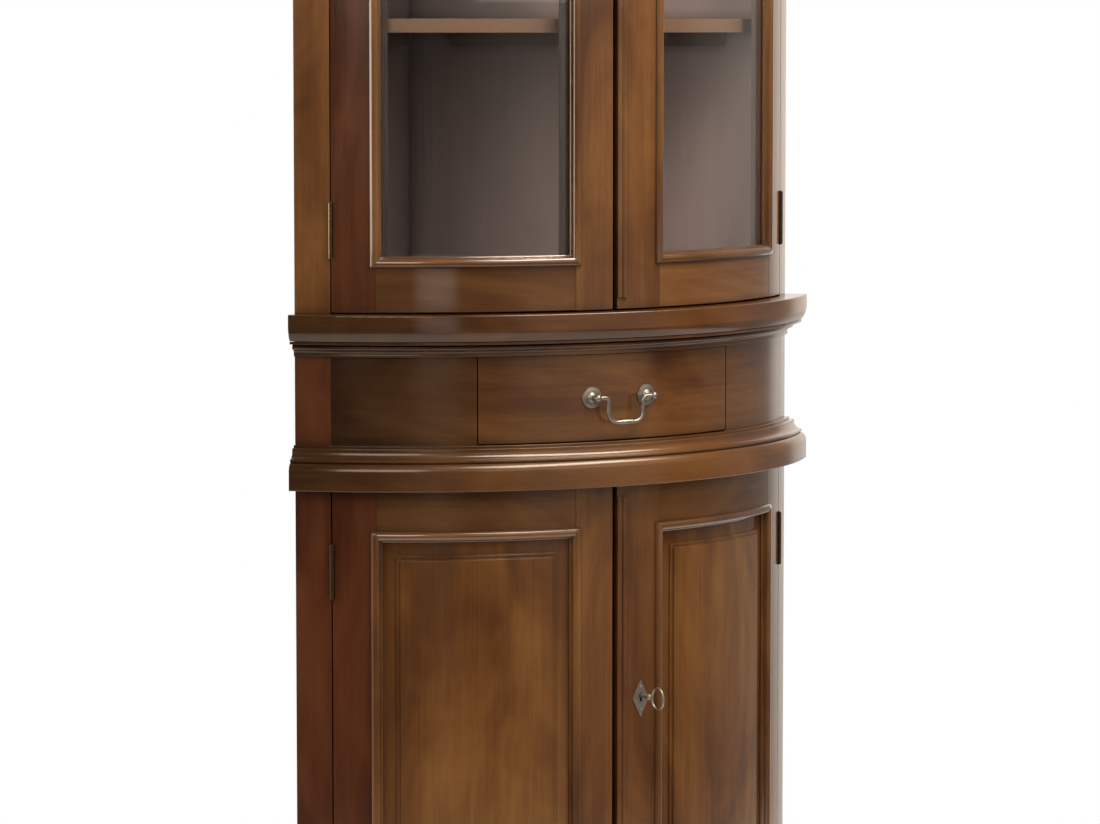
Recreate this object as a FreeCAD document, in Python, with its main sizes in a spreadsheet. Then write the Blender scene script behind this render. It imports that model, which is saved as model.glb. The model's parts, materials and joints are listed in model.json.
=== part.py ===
import FreeCAD, Part
import math
import os
import re
import Sketcher

# Bow-front corner cabinet: a glazed hutch over a drawer and a panelled cupboard.
# +Z is up, the bowed front faces -Y, and the two side boards meet in the corner at +Y.
# Places across the front are arc lengths along the bow, measured from its middle.

SIZES = {
    # Plan: the bow's centre lies this far in from both wall planes
    "front_radius": 510,
    "centre_inset": 28,
    "side_thick": 18,
    "stile_face": 47,
    "stile_thick": 22,
    # Heights
    "total_height": 2000,
    "plinth_height": 92,
    "waist_height": 752,
    "deck_thick": 36,
    "cove_height": 20,
    "drawer_opening": 113,
    "bed_height": 20,
    "top_thick": 33.5,
    "cornice_height": 112,
    "cornice_rim": 14,
    # Boards and shelves
    "board_thick": 18,
    "cupboard_shelf_height": 420,
    "lower_shelf_height": 1345,
    "upper_shelf_height": 1620,
    "shelf_setback": 14,
    "cleat_size": 18,
    "cleat_setback": 60,
    # Waist mouldings: reach is measured out from the bow
    "nose_reach": 30,
    "nose_neck": 23,
    "nose_face": 24.5,
    "nose_edge": 14,
    "nose_round": 2,
    "cove_lip": 3.4,
    "cove_step": 13.4,
    "cove_neck": 6.6,
    "cove_shelf": 3.2,
    "cove_crown": 3.4,
    "bed_strip": 6,
    "bed_step": 12,
    "bed_taper": 10,
    "bed_fall": 8,
    # Plinth and cornice
    "plinth_reach": 12,
    "plinth_neck": 4,
    "plinth_cap": 14,
    "cornice_foot": 8,
    "cornice_fillet": 6,
    "cornice_cove": 36,
    "cornice_step": 42,
    "cornice_rise": 56,
    "cornice_lip": 5,
    "cornice_crown": 16,
    "cornice_reach": 56,
    # Door frames
    "door_thick": 22,
    "door_gap": 2,
    "hinge_gap": 1.6,
    "hinge_stile": 56,
    "opening_inner": 64,
    "meeting_offset": 4,
    "meeting_gap": 1.5,
    "rebate_width": 5.5,
    "rebate_depth": 10,
    "upper_rail": 63,
    "lower_rail": 58,
    # Beads, glass and raised panels
    "bead_lip": 7,
    "bead_cover": 7,
    "bead_proud": 5,
    "panel_depth": 8,
    "glass_depth": 8,
    "glass_thick": 3,
    "back_bead": 15,
    "panel_thick": 7,
    "panel_margin": 17,
    "panel_step": 6,
    "step_raise": 2.5,
    "field_raise": 5,
    "strip_width": 15.5,
    "strip_proud": 3.5,
    "strip_short": 14.5,
    # Hinges
    "hinge_length": 70,
    "hinge_inset": 103,
    "leaf_width": 18,
    "leaf_clear": 0.1,
    "barrel_proud": 1,
    "knuckle_radius": 3,
    "knuckle_clear": 0.3,
    "pin_radius": 1.5,
    "pin_clear": 0.05,
    "pin_cap": 1,
    # Locks and keys
    "lower_lock_height": 475.5,
    "upper_lock_height": 1410,
    "key_arc": 33.4,
    "lock_width": 34,
    "lock_tall": 52,
    "lock_drop": 18,
    "lock_deep": 12,
    "lock_wall": 1.5,
    "latch_thick": 5,
    "latch_tall": 12,
    "latch_rise": 10,
    "latch_tail": 6,
    "latch_sunk": 0.5,
    "latch_throw": 8,
    "latch_clear": 0.3,
    "key_radius": 2.5,
    "key_clear": 0.1,
    "key_shank": 24,
    "key_collar": 4,
    "bow_radius": 12.5,
    "bow_wire": 1.5,
    "bit_reach": 7,
    "bit_thick": 2,
    "bit_deep": 5,
    "bit_clear": 0.8,
    "plate_width": 26,
    "plate_tall": 48.7,
    "plate_drop": 3,
    "plate_thick": 1.2,
    # Flush bolts of the left doors
    "flush_arc": 30,
    "flush_radius": 3,
    "flush_depth": 11,
    "flush_length": 70,
    "flush_sunk": 0.5,
    "flush_throw": 10,
    "flush_clear": 0.1,
    "keeper_clear": 0.6,
    "knob_radius": 2.5,
    "knob_reach": 5,
    # Drawer
    "drawer_half": 195.8,
    "drawer_gap": 1,
    "drawer_front_thick": 20,
    "drawer_side_thick": 10,
    "drawer_side_height": 85,
    "drawer_side_gap": 3,
    "drawer_back_gap": 14,
    "bottom_rise": 4,
    "bottom_thick": 5,
    "slide_gap": 0.3,
    "runner_ledge": 6,
    "runner_guide": 12,
    "guide_height": 20,
    # Drawer pull
    "pull_half": 41.5,
    "rosette_radius": 14.2,
    "rosette_thick": 2,
    "collar_radius": 10,
    "collar_thick": 2,
    "post_radius": 3.2,
    "post_reach": 16,
    "boss_radius": 5,
    "bail_radius": 1.8,
    "bail_clear": 0.05,
    "bail_half": 26,
    "bail_bend": 6,
    "bail_drop": 32,
}

doc = FreeCAD.newDocument("corner_cabinet")
dims = doc.addObject("Spreadsheet::Sheet", "dims")
for row, (word, value) in enumerate(SIZES.items(), start=1):
    dims.set(f"A{row}", word)
    dims.set(f"B{row}", str(value))
    dims.setAlias(f"B{row}", word)
doc.recompute()

UP = FreeCAD.Vector(0, 0, 1)
ACROSS = FreeCAD.Vector(1, 0, 0)
SIZE_WORD = re.compile(r"\b[a-z]+(?:_[a-z]+)+\b")
WALL_ANGLE = 225
FRONT_ANGLE = 270

# Places in plan
ARC_Y = "((front_radius + cornice_reach - sqrt(2) * centre_inset) / 2)"
CORNER_Y = f"({ARC_Y} + sqrt(2) * centre_inset)"
QUARTER = "pi / 4 * front_radius"
PAST_WALL = f"({QUARTER} + 3 * centre_inset)"
HINGE_ARC = f"({QUARTER} + centre_inset - stile_face)"
JOINT_ARC = f"({HINGE_ARC} + stile_face / 2)"
DOOR_EDGE = f"({HINGE_ARC} - hinge_gap)"
OPENING_OUTER = f"({DOOR_EDGE} - hinge_stile)"
STILE_BACK = "(front_radius - stile_thick)"
DOOR_BACK = "(front_radius - door_thick)"
SHELF_FRONT = "(front_radius - max(door_thick; stile_thick) - shelf_setback)"
FLUSH_RADIUS = "(front_radius - flush_depth)"

# Levels
DECK_TOP = "(waist_height + deck_thick)"
DRAWER_Z = f"({DECK_TOP} + cove_height)"
DRAWER_TOP = f"({DRAWER_Z} + drawer_opening)"
WAIST_Z = f"({DRAWER_TOP} + bed_height)"
HUTCH_Z = f"({WAIST_Z} + top_thick)"
CORNICE_Z = "(total_height - cornice_height)"
SIDE_TOP = "(total_height - cornice_rim)"
LOWER_BOTTOM = "(plinth_height + door_gap)"
LOWER_TOP = "(waist_height - door_gap)"
UPPER_BOTTOM = f"({HUTCH_Z} + door_gap)"
UPPER_TOP = f"({CORNICE_Z} - door_gap)"

sub_parts = []


def formula(text):
    """Point each size word in an expression at its cell."""
    return SIZE_WORD.sub(lambda word: "dims." + word.group(), str(text))


def turn(arc):
    """Degrees round the bow for an arc length."""
    return f"(({arc}) / front_radius * 180 / pi)"


def bind(item, expressions):
    for path, text in expressions.items():
        item.setExpression(path, formula(text))
    return item


def upright(angle):
    return FreeCAD.Placement(FreeCAD.Vector(), FreeCAD.Rotation(UP, angle))


def box(name, low, size, angle=0):
    """Box from a low corner, in the row frame or turned about a vertical edge."""
    item = doc.addObject("Part::Box", name)
    item.Placement = upright(angle)
    bind(item, dict(zip(("Length", "Width", "Height"), size)))
    return bind(item, dict(zip(("Placement.Base.x", "Placement.Base.y", "Placement.Base.z"), low)))


def wall_box(name, left, right, low, left_size, right_size, height):
    """Box square to the walls: left and right are distances from the corner along each wall."""
    corner = (f"(({right}) - ({left})) / sqrt(2)", f"{CORNER_Y} - (({left}) + ({right})) / sqrt(2)", low)
    return box(name, corner, (left_size, right_size, height), WALL_ANGLE)


def cylinder(name, radius, low, high):
    """Upright cylinder about the bow's centre."""
    item = doc.addObject("Part::Cylinder", name)
    bind(item, {"Radius": radius, "Height": f"({high}) - ({low})"})
    return bind(item, {"Placement.Base.y": ARC_Y, "Placement.Base.z": low})


def ring_block(name, inner, outer, start, end, low, high):
    """Board bent to the bow between two radii, two arc lengths and two levels."""
    wedge = cylinder(name + "_wedge", outer, low, high)
    wedge.Placement = upright(FRONT_ANGLE)
    bind(wedge, {"Angle": turn(f"({end}) - ({start})")})
    bind(wedge, {"Placement.Rotation.Angle": f"{FRONT_ANGLE} + {turn(start)}"})
    return cut(name, wedge, cylinder(name + "_core", inner, low, high))


def radial_rod(name, radius, inner, outer, level="0"):
    """Rod pointing out of the bow's middle, in the frame of the bow's centre."""
    item = doc.addObject("Part::Cylinder", name)
    item.Placement = FreeCAD.Placement(FreeCAD.Vector(), FreeCAD.Rotation(ACROSS, 90))
    bind(item, {"Radius": radius, "Height": f"({outer}) - ({inner})"})
    return bind(item, {"Placement.Base.y": f"-({inner})", "Placement.Base.z": level})


def upright_rod(name, radius, depth, low, high):
    """Upright rod at a radius of the bow's middle, in the frame of the bow's centre."""
    item = doc.addObject("Part::Cylinder", name)
    bind(item, {"Radius": radius, "Height": f"({high}) - ({low})"})
    return bind(item, {"Placement.Base.y": f"-({depth})", "Placement.Base.z": low})


def cross_rod(name, radius, start, end, level):
    """Rod along X."""
    item = doc.addObject("Part::Cylinder", name)
    item.Placement = FreeCAD.Placement(FreeCAD.Vector(), FreeCAD.Rotation(FreeCAD.Vector(0, 1, 0), 90))
    bind(item, {"Radius": radius, "Height": f"({end}) - ({start})"})
    return bind(item, {"Placement.Base.x": start, "Placement.Base.z": level})


def boolean(kind, name, base, tool):
    item = doc.addObject(kind, name)
    item.Base = base
    item.Tool = tool
    return item


def cut(name, base, tool):
    return boolean("Part::Cut", name, base, tool)


def common(name, base, tool):
    return boolean("Part::Common", name, base, tool)


def fuse(name, items):
    item = doc.addObject("Part::MultiFuse", name)
    item.Shapes = items
    return item


def group(name, items):
    item = doc.addObject("Part::Compound", name)
    item.Links = items
    return item


def mirrored(name, source):
    """Left-hand twin of a right-hand piece."""
    item = doc.addObject("Part::Mirroring", name)
    item.Source = source
    item.Normal = ACROSS
    return item


def pair(name, right):
    return group(name, [mirrored(name + "_left", right), right])


def swing(item, arc, level):
    """Carry a piece made at the bow's middle round to its arc length and level."""
    item.Placement = upright(1)
    bind(item, {"Placement.Base.y": ARC_Y, "Placement.Base.z": level})
    return bind(item, {"Placement.Rotation.Angle": f"360 + {turn(arc)}"})


def sub_part(item, name):
    item.Label = name
    sub_parts.append(item)
    return item


def arc_between(start, end, bend):
    """Arc whose centre is level with, or plumb above or below, one of its ends."""
    way, side = bend.split("_")
    pivot, other = (start, end) if side == "start" else (end, start)
    gap = other - pivot
    if way == "level":
        centre = pivot + FreeCAD.Vector(gap.Length ** 2 / (2 * gap.x), 0, 0)
    else:
        centre = pivot + FreeCAD.Vector(0, gap.Length ** 2 / (2 * gap.y), 0)
    first = math.atan2(start.y - centre.y, start.x - centre.x)
    last = math.atan2(end.y - centre.y, end.x - centre.x)
    sweep = (last - first) % (2 * math.pi)
    circle = Part.Circle(centre, UP, (pivot - centre).Length)
    if sweep <= math.pi:
        return Part.ArcOfCircle(circle, first, first + sweep), False
    return Part.ArcOfCircle(circle, last, last + 2 * math.pi - sweep), True


def pin_point(sketch, edge, spot, index, across, up, place):
    """Hold one corner of an outline at its two expressions."""
    for word, text, kind, axis, value in (
        ("across", across, "DistanceX", -2, place.x),
        ("up", up, "DistanceY", -1, place.y),
    ):
        if text == "0":
            sketch.addConstraint(Sketcher.Constraint("PointOnObject", edge, spot, axis))
            continue
        number = sketch.addConstraint(Sketcher.Constraint(kind, -1, 1, edge, spot, value))
        sketch.renameConstraint(number, f"{word}{index}")
        sketch.setExpression(f"Constraints.{word}{index}", formula(text))


def outline(body, name, points):
    """Closed sketch through (across, up, bend) corners, where bend rounds the way to the next corner."""
    sketch = body.newObject("Sketcher::SketchObject", name)
    plane = next(item for item in body.Origin.OriginFeatures if item.Role == "XZ_Plane")
    sketch.AttachmentSupport = [(plane, "")]
    sketch.MapMode = "FlatFace"
    places = []
    for across, up, bend in points:
        x = float(sketch.evalExpression(formula(across)))
        y = float(sketch.evalExpression(formula(up)))
        places.append(FreeCAD.Vector(x, y, 0))
    ends = []
    for index, (across, up, bend) in enumerate(points):
        start = places[index]
        end = places[(index + 1) % len(points)]
        shape, turned_back = arc_between(start, end, bend) if bend else (Part.LineSegment(start, end), False)
        edge = sketch.addGeometry(shape, False)
        ends.append((edge, 2, 1) if turned_back else (edge, 1, 2))
    for index, (across, up, bend) in enumerate(points):
        edge, first, last = ends[index]
        after, after_first, _ = ends[(index + 1) % len(points)]
        sketch.addConstraint(Sketcher.Constraint("Coincident", edge, last, after, after_first))
        pin_point(sketch, edge, first, index, across, up, places[index])
        if bend:
            way, side = bend.split("_")
            line = "Horizontal" if way == "level" else "Vertical"
            sketch.addConstraint(Sketcher.Constraint(line, edge, 3, edge, first if side == "start" else last))
    return sketch


def turned(name, points, start, end):
    """Section of (reach from the bow's centre, level) corners swept round the bow."""
    body = doc.addObject("PartDesign::Body", name)
    sketch = outline(body, name + "_section", points)
    sweep = body.newObject("PartDesign::Revolution", name + "_sweep")
    sweep.Profile = sketch
    sweep.ReferenceAxis = (sketch, ["V_Axis"])
    bind(sweep, {"Angle": turn(f"({end}) - ({start})")})
    body.Placement = upright(FRONT_ANGLE)
    bind(body, {"Placement.Base.y": ARC_Y})
    return bind(body, {"Placement.Rotation.Angle": f"{FRONT_ANGLE} + {turn(start)}"})


wall_reach = "front_radius + cornice_reach + 2 * centre_inset"
quadrant = wall_box("quadrant", "0", "0", "0", wall_reach, wall_reach, "total_height")


def board(name, inset, radius, low, high):
    """Corner board between the walls and a bow of its own radius."""
    reach = f"({radius}) + centre_inset"
    corner = wall_box(name + "_corner", inset, inset, low, reach, reach, f"({high}) - ({low})")
    return common(name, corner, cylinder(name + "_bow", radius, low, high))


def moulding(name, points):
    """Bent middle length and two short end lengths that stop at the walls."""
    middle = turned(name + "_middle", points, f"-{JOINT_ARC}", JOINT_ARC)
    end = turned(name + "_end", points, JOINT_ARC, PAST_WALL)
    right = common(name + "_right", end, quadrant)
    return [mirrored(name + "_left", right), middle, right]


# Hinges, made about their own axis: the carcass is at +X, the door at -X, the room at -Y
HINGE_TURN = turn(f"{HINGE_ARC} - hinge_gap / 2")
HINGE_X = f"(front_radius + barrel_proud) * sin({HINGE_TURN})"
HINGE_Y = f"{ARC_Y} - (front_radius + barrel_proud) * cos({HINGE_TURN})"
LEAF_THICK = "(hinge_gap / 2 - 2 * leaf_clear)"
LEAF_START = "(knuckle_radius + knuckle_clear)"
LOWER_HINGES = (f"{LOWER_BOTTOM} + hinge_inset", f"{LOWER_TOP} - hinge_inset")
UPPER_HINGES = (f"{UPPER_BOTTOM} + hinge_inset", f"{UPPER_TOP} - hinge_inset")


def at_hinge(item, level):
    item.Placement = upright(1)
    bind(item, {"Placement.Base.x": HINGE_X, "Placement.Base.y": HINGE_Y, "Placement.Base.z": level})
    return bind(item, {"Placement.Rotation.Angle": HINGE_TURN})


def hinge_rod(name, radius, low, high):
    item = doc.addObject("Part::Cylinder", name)
    return bind(item, {"Radius": radius, "Height": f"({high}) - ({low})", "Placement.Base.z": low})


def hinge_leaf(name, side, knuckles):
    """Leaf plate with the knuckles it carries, bored for the pin."""
    plate = box(
        name + "_plate", (side, LEAF_START, "-hinge_length / 2"),
        (LEAF_THICK, f"leaf_width - {LEAF_START}", "hinge_length"),
    )
    pieces = [plate]
    for index, (low, high) in enumerate(knuckles):
        web_size = (LEAF_THICK, LEAF_START, f"({high}) - ({low})")
        pieces.append(box(f"{name}_web{index}", (side, "0", low), web_size))
        pieces.append(hinge_rod(f"{name}_knuckle{index}", "knuckle_radius", low, high))
    bore = hinge_rod(name + "_bore", "pin_radius + pin_clear", "-hinge_length", "hinge_length")
    return cut(name, fuse(name + "_blank", pieces), bore)


def hinge_set(name, master, levels):
    """Right-hand copies of one hinge piece at the given levels."""
    return [at_hinge(group(f"{name}{index}", [master]), level) for index, level in enumerate(levels)]


fixed_leaf = hinge_leaf(
    "fixed_leaf", "leaf_clear",
    (("-hinge_length / 2", "-hinge_length / 6"), ("hinge_length / 6", "hinge_length / 2")),
)
door_leaf = hinge_leaf(
    "door_leaf", f"-leaf_clear - {LEAF_THICK}",
    (("knuckle_clear - hinge_length / 6", "hinge_length / 6 - knuckle_clear"),),
)
PIN_END = "hinge_length / 2 + pin_cap"
hinge_pin = hinge_rod("hinge_pin", "pin_radius", f"-({PIN_END})", PIN_END)
NOTCH_END = f"{PIN_END} + knuckle_clear"
barrel_notch = hinge_rod("barrel_notch", LEAF_START, f"-({NOTCH_END})", NOTCH_END)
lower_notches = group("lower_notches", hinge_set("lower_notch", barrel_notch, LOWER_HINGES))
upper_notches = group("upper_notches", hinge_set("upper_notch", barrel_notch, UPPER_HINGES))

all_levels = LOWER_HINGES + UPPER_HINGES
sub_part(pair("hinge_leaves", group("hinge_leaves_right", hinge_set("leaf", fixed_leaf, all_levels))),
         "hinge_fixed_leaves")
sub_part(pair("pins", group("pins_right", hinge_set("pin", hinge_pin, all_levels))), "hinge_pins")


# Carcass
def side_boards(prefix, low, high):
    reach = "front_radius + centre_inset"
    height = f"({high}) - ({low})"
    back = cylinder(f"{prefix}_side_trim", STILE_BACK, low, high)
    left = wall_box(f"{prefix}_left_plank", "0", "0", low, reach, "side_thick", height)
    right = wall_box(f"{prefix}_right_plank", "0", "side_thick", low, "side_thick", reach, height)
    sub_part(common(f"{prefix}_left", left, back), f"{prefix}_side_left")
    sub_part(common(f"{prefix}_right", right, back), f"{prefix}_side_right")


def carcass_stiles(prefix, low, high, notches):
    bent = ring_block(f"{prefix}_stile_bent", STILE_BACK, "front_radius", HINGE_ARC, PAST_WALL, low, high)
    trimmed = common(f"{prefix}_stile_trimmed", bent, quadrant)
    both = pair(f"{prefix}_stile_pair", cut(f"{prefix}_stile", trimmed, notches))
    return sub_part(both, f"{prefix}_stiles")


side_boards("base", "0", WAIST_Z)
side_boards("hutch", HUTCH_Z, SIDE_TOP)
base_stiles = carcass_stiles("base", "0", WAIST_Z, lower_notches)
hutch_stiles = carcass_stiles("hutch", HUTCH_Z, SIDE_TOP, upper_notches)


def keeper_hole(name, door_top):
    """Hole above a left door's flush bolt."""
    rod = upright_rod(name + "_rod", "flush_radius + keeper_clear", FLUSH_RADIUS,
                      "0", "door_gap + flush_throw + keeper_clear")
    return swing(group(name, [rod]), "-flush_arc", door_top)


floor_plank = board("floor_plank", "side_thick", "front_radius",
                    "plinth_height - board_thick", "plinth_height")
sub_part(cut("floor_fitted", floor_plank, base_stiles), "base_floor_board")
deck_plank = board("deck_plank", "side_thick", "front_radius", "waist_height", DECK_TOP)
deck_fitted = cut("deck_fitted", deck_plank, base_stiles)
sub_part(cut("deck_bored", deck_fitted, keeper_hole("deck_keeper", LOWER_TOP)), "drawer_deck_board")
hutch_floor = board("hutch_floor", "side_thick", SHELF_FRONT, HUTCH_Z, f"{HUTCH_Z} + board_thick")
sub_part(hutch_floor, "hutch_floor_board")
roof_plank = board("roof_plank", "side_thick", "front_radius", CORNICE_Z, f"{CORNICE_Z} + board_thick")
roof_fitted = cut("roof_fitted", roof_plank, hutch_stiles)
sub_part(cut("roof_bored", roof_fitted, keeper_hole("roof_keeper", UPPER_TOP)), "hutch_top_board")


def shelf(name, level):
    return board(name, "side_thick", SHELF_FRONT, f"{level} - board_thick", level)


def cleats(name, level):
    """Strips on the two side boards that carry a shelf."""
    low = f"{level} - board_thick - cleat_size"
    length = "front_radius + centre_inset - stile_thick - side_thick - 2 * cleat_setback"
    start = "side_thick + cleat_setback"
    left = wall_box(name + "_left", start, "side_thick", low, length, "cleat_size", "cleat_size")
    right = wall_box(name + "_right", "side_thick", start, low, "cleat_size", length, "cleat_size")
    return [left, right]


sub_part(shelf("cupboard_board", "cupboard_shelf_height"), "cupboard_shelf")
hutch_boards = [shelf("low_board", "lower_shelf_height"), shelf("high_board", "upper_shelf_height")]
sub_part(group("hutch_board_set", hutch_boards), "hutch_shelves")
cleat_set = cleats("cupboard_cleat", "cupboard_shelf_height")
cleat_set += cleats("low_cleat", "lower_shelf_height")
cleat_set += cleats("high_cleat", "upper_shelf_height")
sub_part(group("cleat_set", cleat_set), "shelf_cleats")


# Frieze: rails over and under the drawer, and a panel on each side of it
def frieze_block(name, start, low, high):
    return ring_block(name, STILE_BACK, "front_radius", start, HINGE_ARC, low, high)


low_rail = frieze_block("frieze_low", f"-{HINGE_ARC}", DECK_TOP, DRAWER_Z)
high_rail = frieze_block("frieze_high", f"-{HINGE_ARC}", DRAWER_TOP, WAIST_Z)
frieze_panel = frieze_block("frieze_panel", "drawer_half", DRAWER_Z, DRAWER_TOP)
frieze = [low_rail, high_rail, frieze_panel, mirrored("frieze_panel_left", frieze_panel)]
sub_part(group("frieze", frieze), "drawer_frieze")

# Waist, plinth and cornice
NOSE = "front_radius + nose_reach"
NECK = "front_radius + nose_neck"
deck_nose = moulding("deck_nose", [
    ("front_radius", "waist_height", None),
    (f"{NOSE} - nose_round", "waist_height", "level_end"),
    (NOSE, "waist_height + nose_round", None),
    (NOSE, "waist_height + nose_face", "level_start"),
    (NECK, DECK_TOP, None),
    ("front_radius", DECK_TOP, None),
])
cove = moulding("cove", [
    ("front_radius", DECK_TOP, None),
    (NECK, DECK_TOP, None),
    (NECK, f"{DECK_TOP} + cove_lip", "plumb_start"),
    ("front_radius + cove_step", f"{DRAWER_Z} - cove_crown - cove_shelf", None),
    ("front_radius + cove_step", f"{DRAWER_Z} - cove_crown", None),
    ("front_radius + cove_neck", f"{DRAWER_Z} - cove_crown", None),
    ("front_radius + cove_neck", DRAWER_Z, None),
    ("front_radius", DRAWER_Z, None),
])
sub_part(group("lower_waist", deck_nose + cove), "lower_waist_moulding")
bed = moulding("bed", [
    ("front_radius", DRAWER_TOP, "level_end"),
    ("front_radius + bed_taper", f"{WAIST_Z} - bed_strip - bed_fall", None),
    ("front_radius + bed_step", f"{WAIST_Z} - bed_strip", None),
    (NECK, f"{WAIST_Z} - bed_strip", None),
    (NECK, WAIST_Z, None),
    ("front_radius", WAIST_Z, None),
])
sub_part(group("upper_waist", bed), "upper_waist_moulding")
top_nose = turned("top_nose", [
    ("front_radius", WAIST_Z, None),
    (NECK, WAIST_Z, "level_end"),
    (NOSE, f"{HUTCH_Z} - nose_edge", None),
    (NOSE, f"{HUTCH_Z} - nose_round", "level_start"),
    (f"{NOSE} - nose_round", HUTCH_Z, None),
    ("front_radius", HUTCH_Z, None),
], f"-{PAST_WALL}", PAST_WALL)
top_edge = common("top_edge", top_nose, quadrant)
top_plank = board("top_plank", "0", "front_radius", WAIST_Z, HUTCH_Z)
sub_part(fuse("waist_top", [top_plank, top_edge]), "waist_top_board")
plinth = moulding("plinth", [
    ("front_radius", "0", None),
    ("front_radius + plinth_reach", "0", None),
    ("front_radius + plinth_reach", "plinth_height - plinth_cap", "level_start"),
    ("front_radius + plinth_neck", "plinth_height", None),
    ("front_radius", "plinth_height", None),
])
sub_part(group("plinth_set", plinth), "plinth")
COVE_TOP = f"{CORNICE_Z} + cornice_fillet + cornice_rise"
cornice = moulding("cornice", [
    ("front_radius", CORNICE_Z, None),
    ("front_radius + cornice_foot", CORNICE_Z, None),
    ("front_radius + cornice_foot", f"{CORNICE_Z} + cornice_fillet", "level_start"),
    ("front_radius + cornice_cove", COVE_TOP, None),
    ("front_radius + cornice_step", COVE_TOP, None),
    ("front_radius + cornice_step", f"{COVE_TOP} + cornice_lip", "level_end"),
    ("front_radius + cornice_reach", "total_height - cornice_crown", None),
    ("front_radius + cornice_reach", "total_height", None),
    ("front_radius", "total_height", None),
])
sub_part(group("cornice_set", cornice), "cornice")

# Locks, made at the bow's middle with the key's axis at level zero
LOCK_FACE = f"({DOOR_BACK} + lock_deep)"
LATCH_RADIUS = f"({DOOR_BACK} + lock_deep / 2)"
LATCH_NOSE = f"((key_arc + meeting_offset) * {DOOR_BACK} / front_radius - latch_sunk)"


def latch_space(name, start, end):
    """Room for the sliding latch between two places across the lock."""
    low = (start, f"-{LATCH_RADIUS} - latch_thick / 2 - latch_clear", "latch_rise - latch_clear")
    size = (f"({end}) - ({start})", "latch_thick + 2 * latch_clear", "latch_tall + 2 * latch_clear")
    return box(name, low, size)


def keyhole(name, inner, outer):
    """Round hole for the shank with a slot below it for the bit."""
    hole = radial_rod(name + "_hole", "key_radius + latch_clear", inner, outer)
    slot_low = ("-bit_thick / 2 - latch_clear", f"-({outer})", "-bit_reach - latch_clear")
    slot_size = ("bit_thick + 2 * latch_clear", f"({outer}) - ({inner})", "bit_reach + latch_clear")
    return fuse(name, [hole, box(name + "_slot", slot_low, slot_size)])


def lock_block(name, depth):
    low = ("-lock_width / 2", f"-{LOCK_FACE}", "-lock_drop")
    return box(name, low, ("lock_width", depth, "lock_tall"))


def lock_mortise(name, level):
    """Everything that the lock takes out of the right meeting stile."""
    pocket = lock_block(name + "_pocket", "lock_deep + door_thick")
    channel = latch_space(name + "_channel", "-key_arc - 2 * meeting_offset - latch_throw", "0")
    hole = keyhole(name + "_key", LATCH_RADIUS, "front_radius + plate_thick")
    return swing(fuse(name, [pocket, channel, hole]), "key_arc", level)


def strike_hole(name, level):
    """Hole in the left meeting stile that takes the thrown latch."""
    far = f"-{LATCH_NOSE} - latch_throw - 3 * latch_clear"
    space = latch_space(name + "_space", far, f"-{LATCH_NOSE}")
    return swing(group(name, [space]), "key_arc", level)


def lock_case(name, level):
    chamber = radial_rod(name + "_chamber", "bit_reach + bit_clear",
                         f"{DOOR_BACK} + lock_wall", f"{LOCK_FACE} - lock_wall")
    channel = latch_space(name + "_channel", "-lock_width", "latch_tail + latch_clear")
    hole = radial_rod(name + "_hole", "key_radius + key_clear", LATCH_RADIUS, "front_radius")
    space = fuse(name + "_space", [chamber, channel, hole])
    return swing(cut(name, lock_block(name + "_block", "lock_deep"), space), "key_arc", level)


def latch(name, level):
    low = (f"-{LATCH_NOSE}", f"-{LATCH_RADIUS} - latch_thick / 2", "latch_rise")
    bar = box(name + "_bar", low, (f"{LATCH_NOSE} + latch_tail", "latch_thick", "latch_tall"))
    return swing(group(name, [bar]), "key_arc", level)


def key(name, level):
    tip = f"{DOOR_BACK} + 2 * lock_wall"
    bow_start = "front_radius + key_shank"
    shank = radial_rod(name + "_shank", "key_radius", tip, f"{bow_start} + bow_wire")
    low_collar = radial_rod(name + "_low_collar", "key_collar",
                            "front_radius + 2 * plate_thick", "front_radius + 4 * plate_thick")
    high_collar = radial_rod(name + "_high_collar", "key_collar", f"{bow_start} - 2 * plate_thick", bow_start)
    ring = doc.addObject("Part::Torus", name + "_ring")
    ring.Placement = FreeCAD.Placement(FreeCAD.Vector(), FreeCAD.Rotation(FreeCAD.Vector(0, 1, 0), 90))
    bind(ring, {"Radius1": "bow_radius", "Radius2": "bow_wire"})
    bind(ring, {"Placement.Base.y": f"-({bow_start} + bow_radius)"})
    bit_low = ("-bit_thick / 2", f"-({tip}) - bit_deep", "-bit_reach")
    bit = box(name + "_bit", bit_low, ("bit_thick", "bit_deep", "bit_reach"))
    return swing(fuse(name, [shank, low_collar, high_collar, ring, bit]), "key_arc", level)


def escutcheon(name, level):
    """Diamond plate bent to the bow and pierced for the key, a little above its middle."""
    body = doc.addObject("PartDesign::Body", name + "_diamond")
    sketch = outline(body, name + "_edge", [
        ("0", "plate_tall / 2 - plate_drop", None),
        ("plate_width / 2", "-plate_drop", None),
        ("0", "-plate_tall / 2 - plate_drop", None),
        ("-plate_width / 2", "-plate_drop", None),
    ])
    pad = body.newObject("PartDesign::Pad", name + "_pad")
    pad.Profile = sketch
    bind(pad, {"Length": "front_radius + 2 * plate_thick"})
    reach = "front_radius + plate_thick"
    rod_low = "-plate_tall"
    shell = cut(name + "_shell", upright_rod(name + "_outer", reach, "0", rod_low, "plate_tall"),
                upright_rod(name + "_inner", "front_radius", "0", rod_low, "plate_tall"))
    plate = common(name + "_plate", shell, body)
    hole = keyhole(name + "_key", STILE_BACK, "front_radius + 2 * plate_thick")
    return swing(cut(name, plate, hole), "key_arc", level)


# Flush bolts, made at the bow's middle with the door's top at level zero
KNOB_LEVEL = "(2 * knob_radius - flush_length)"


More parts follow.
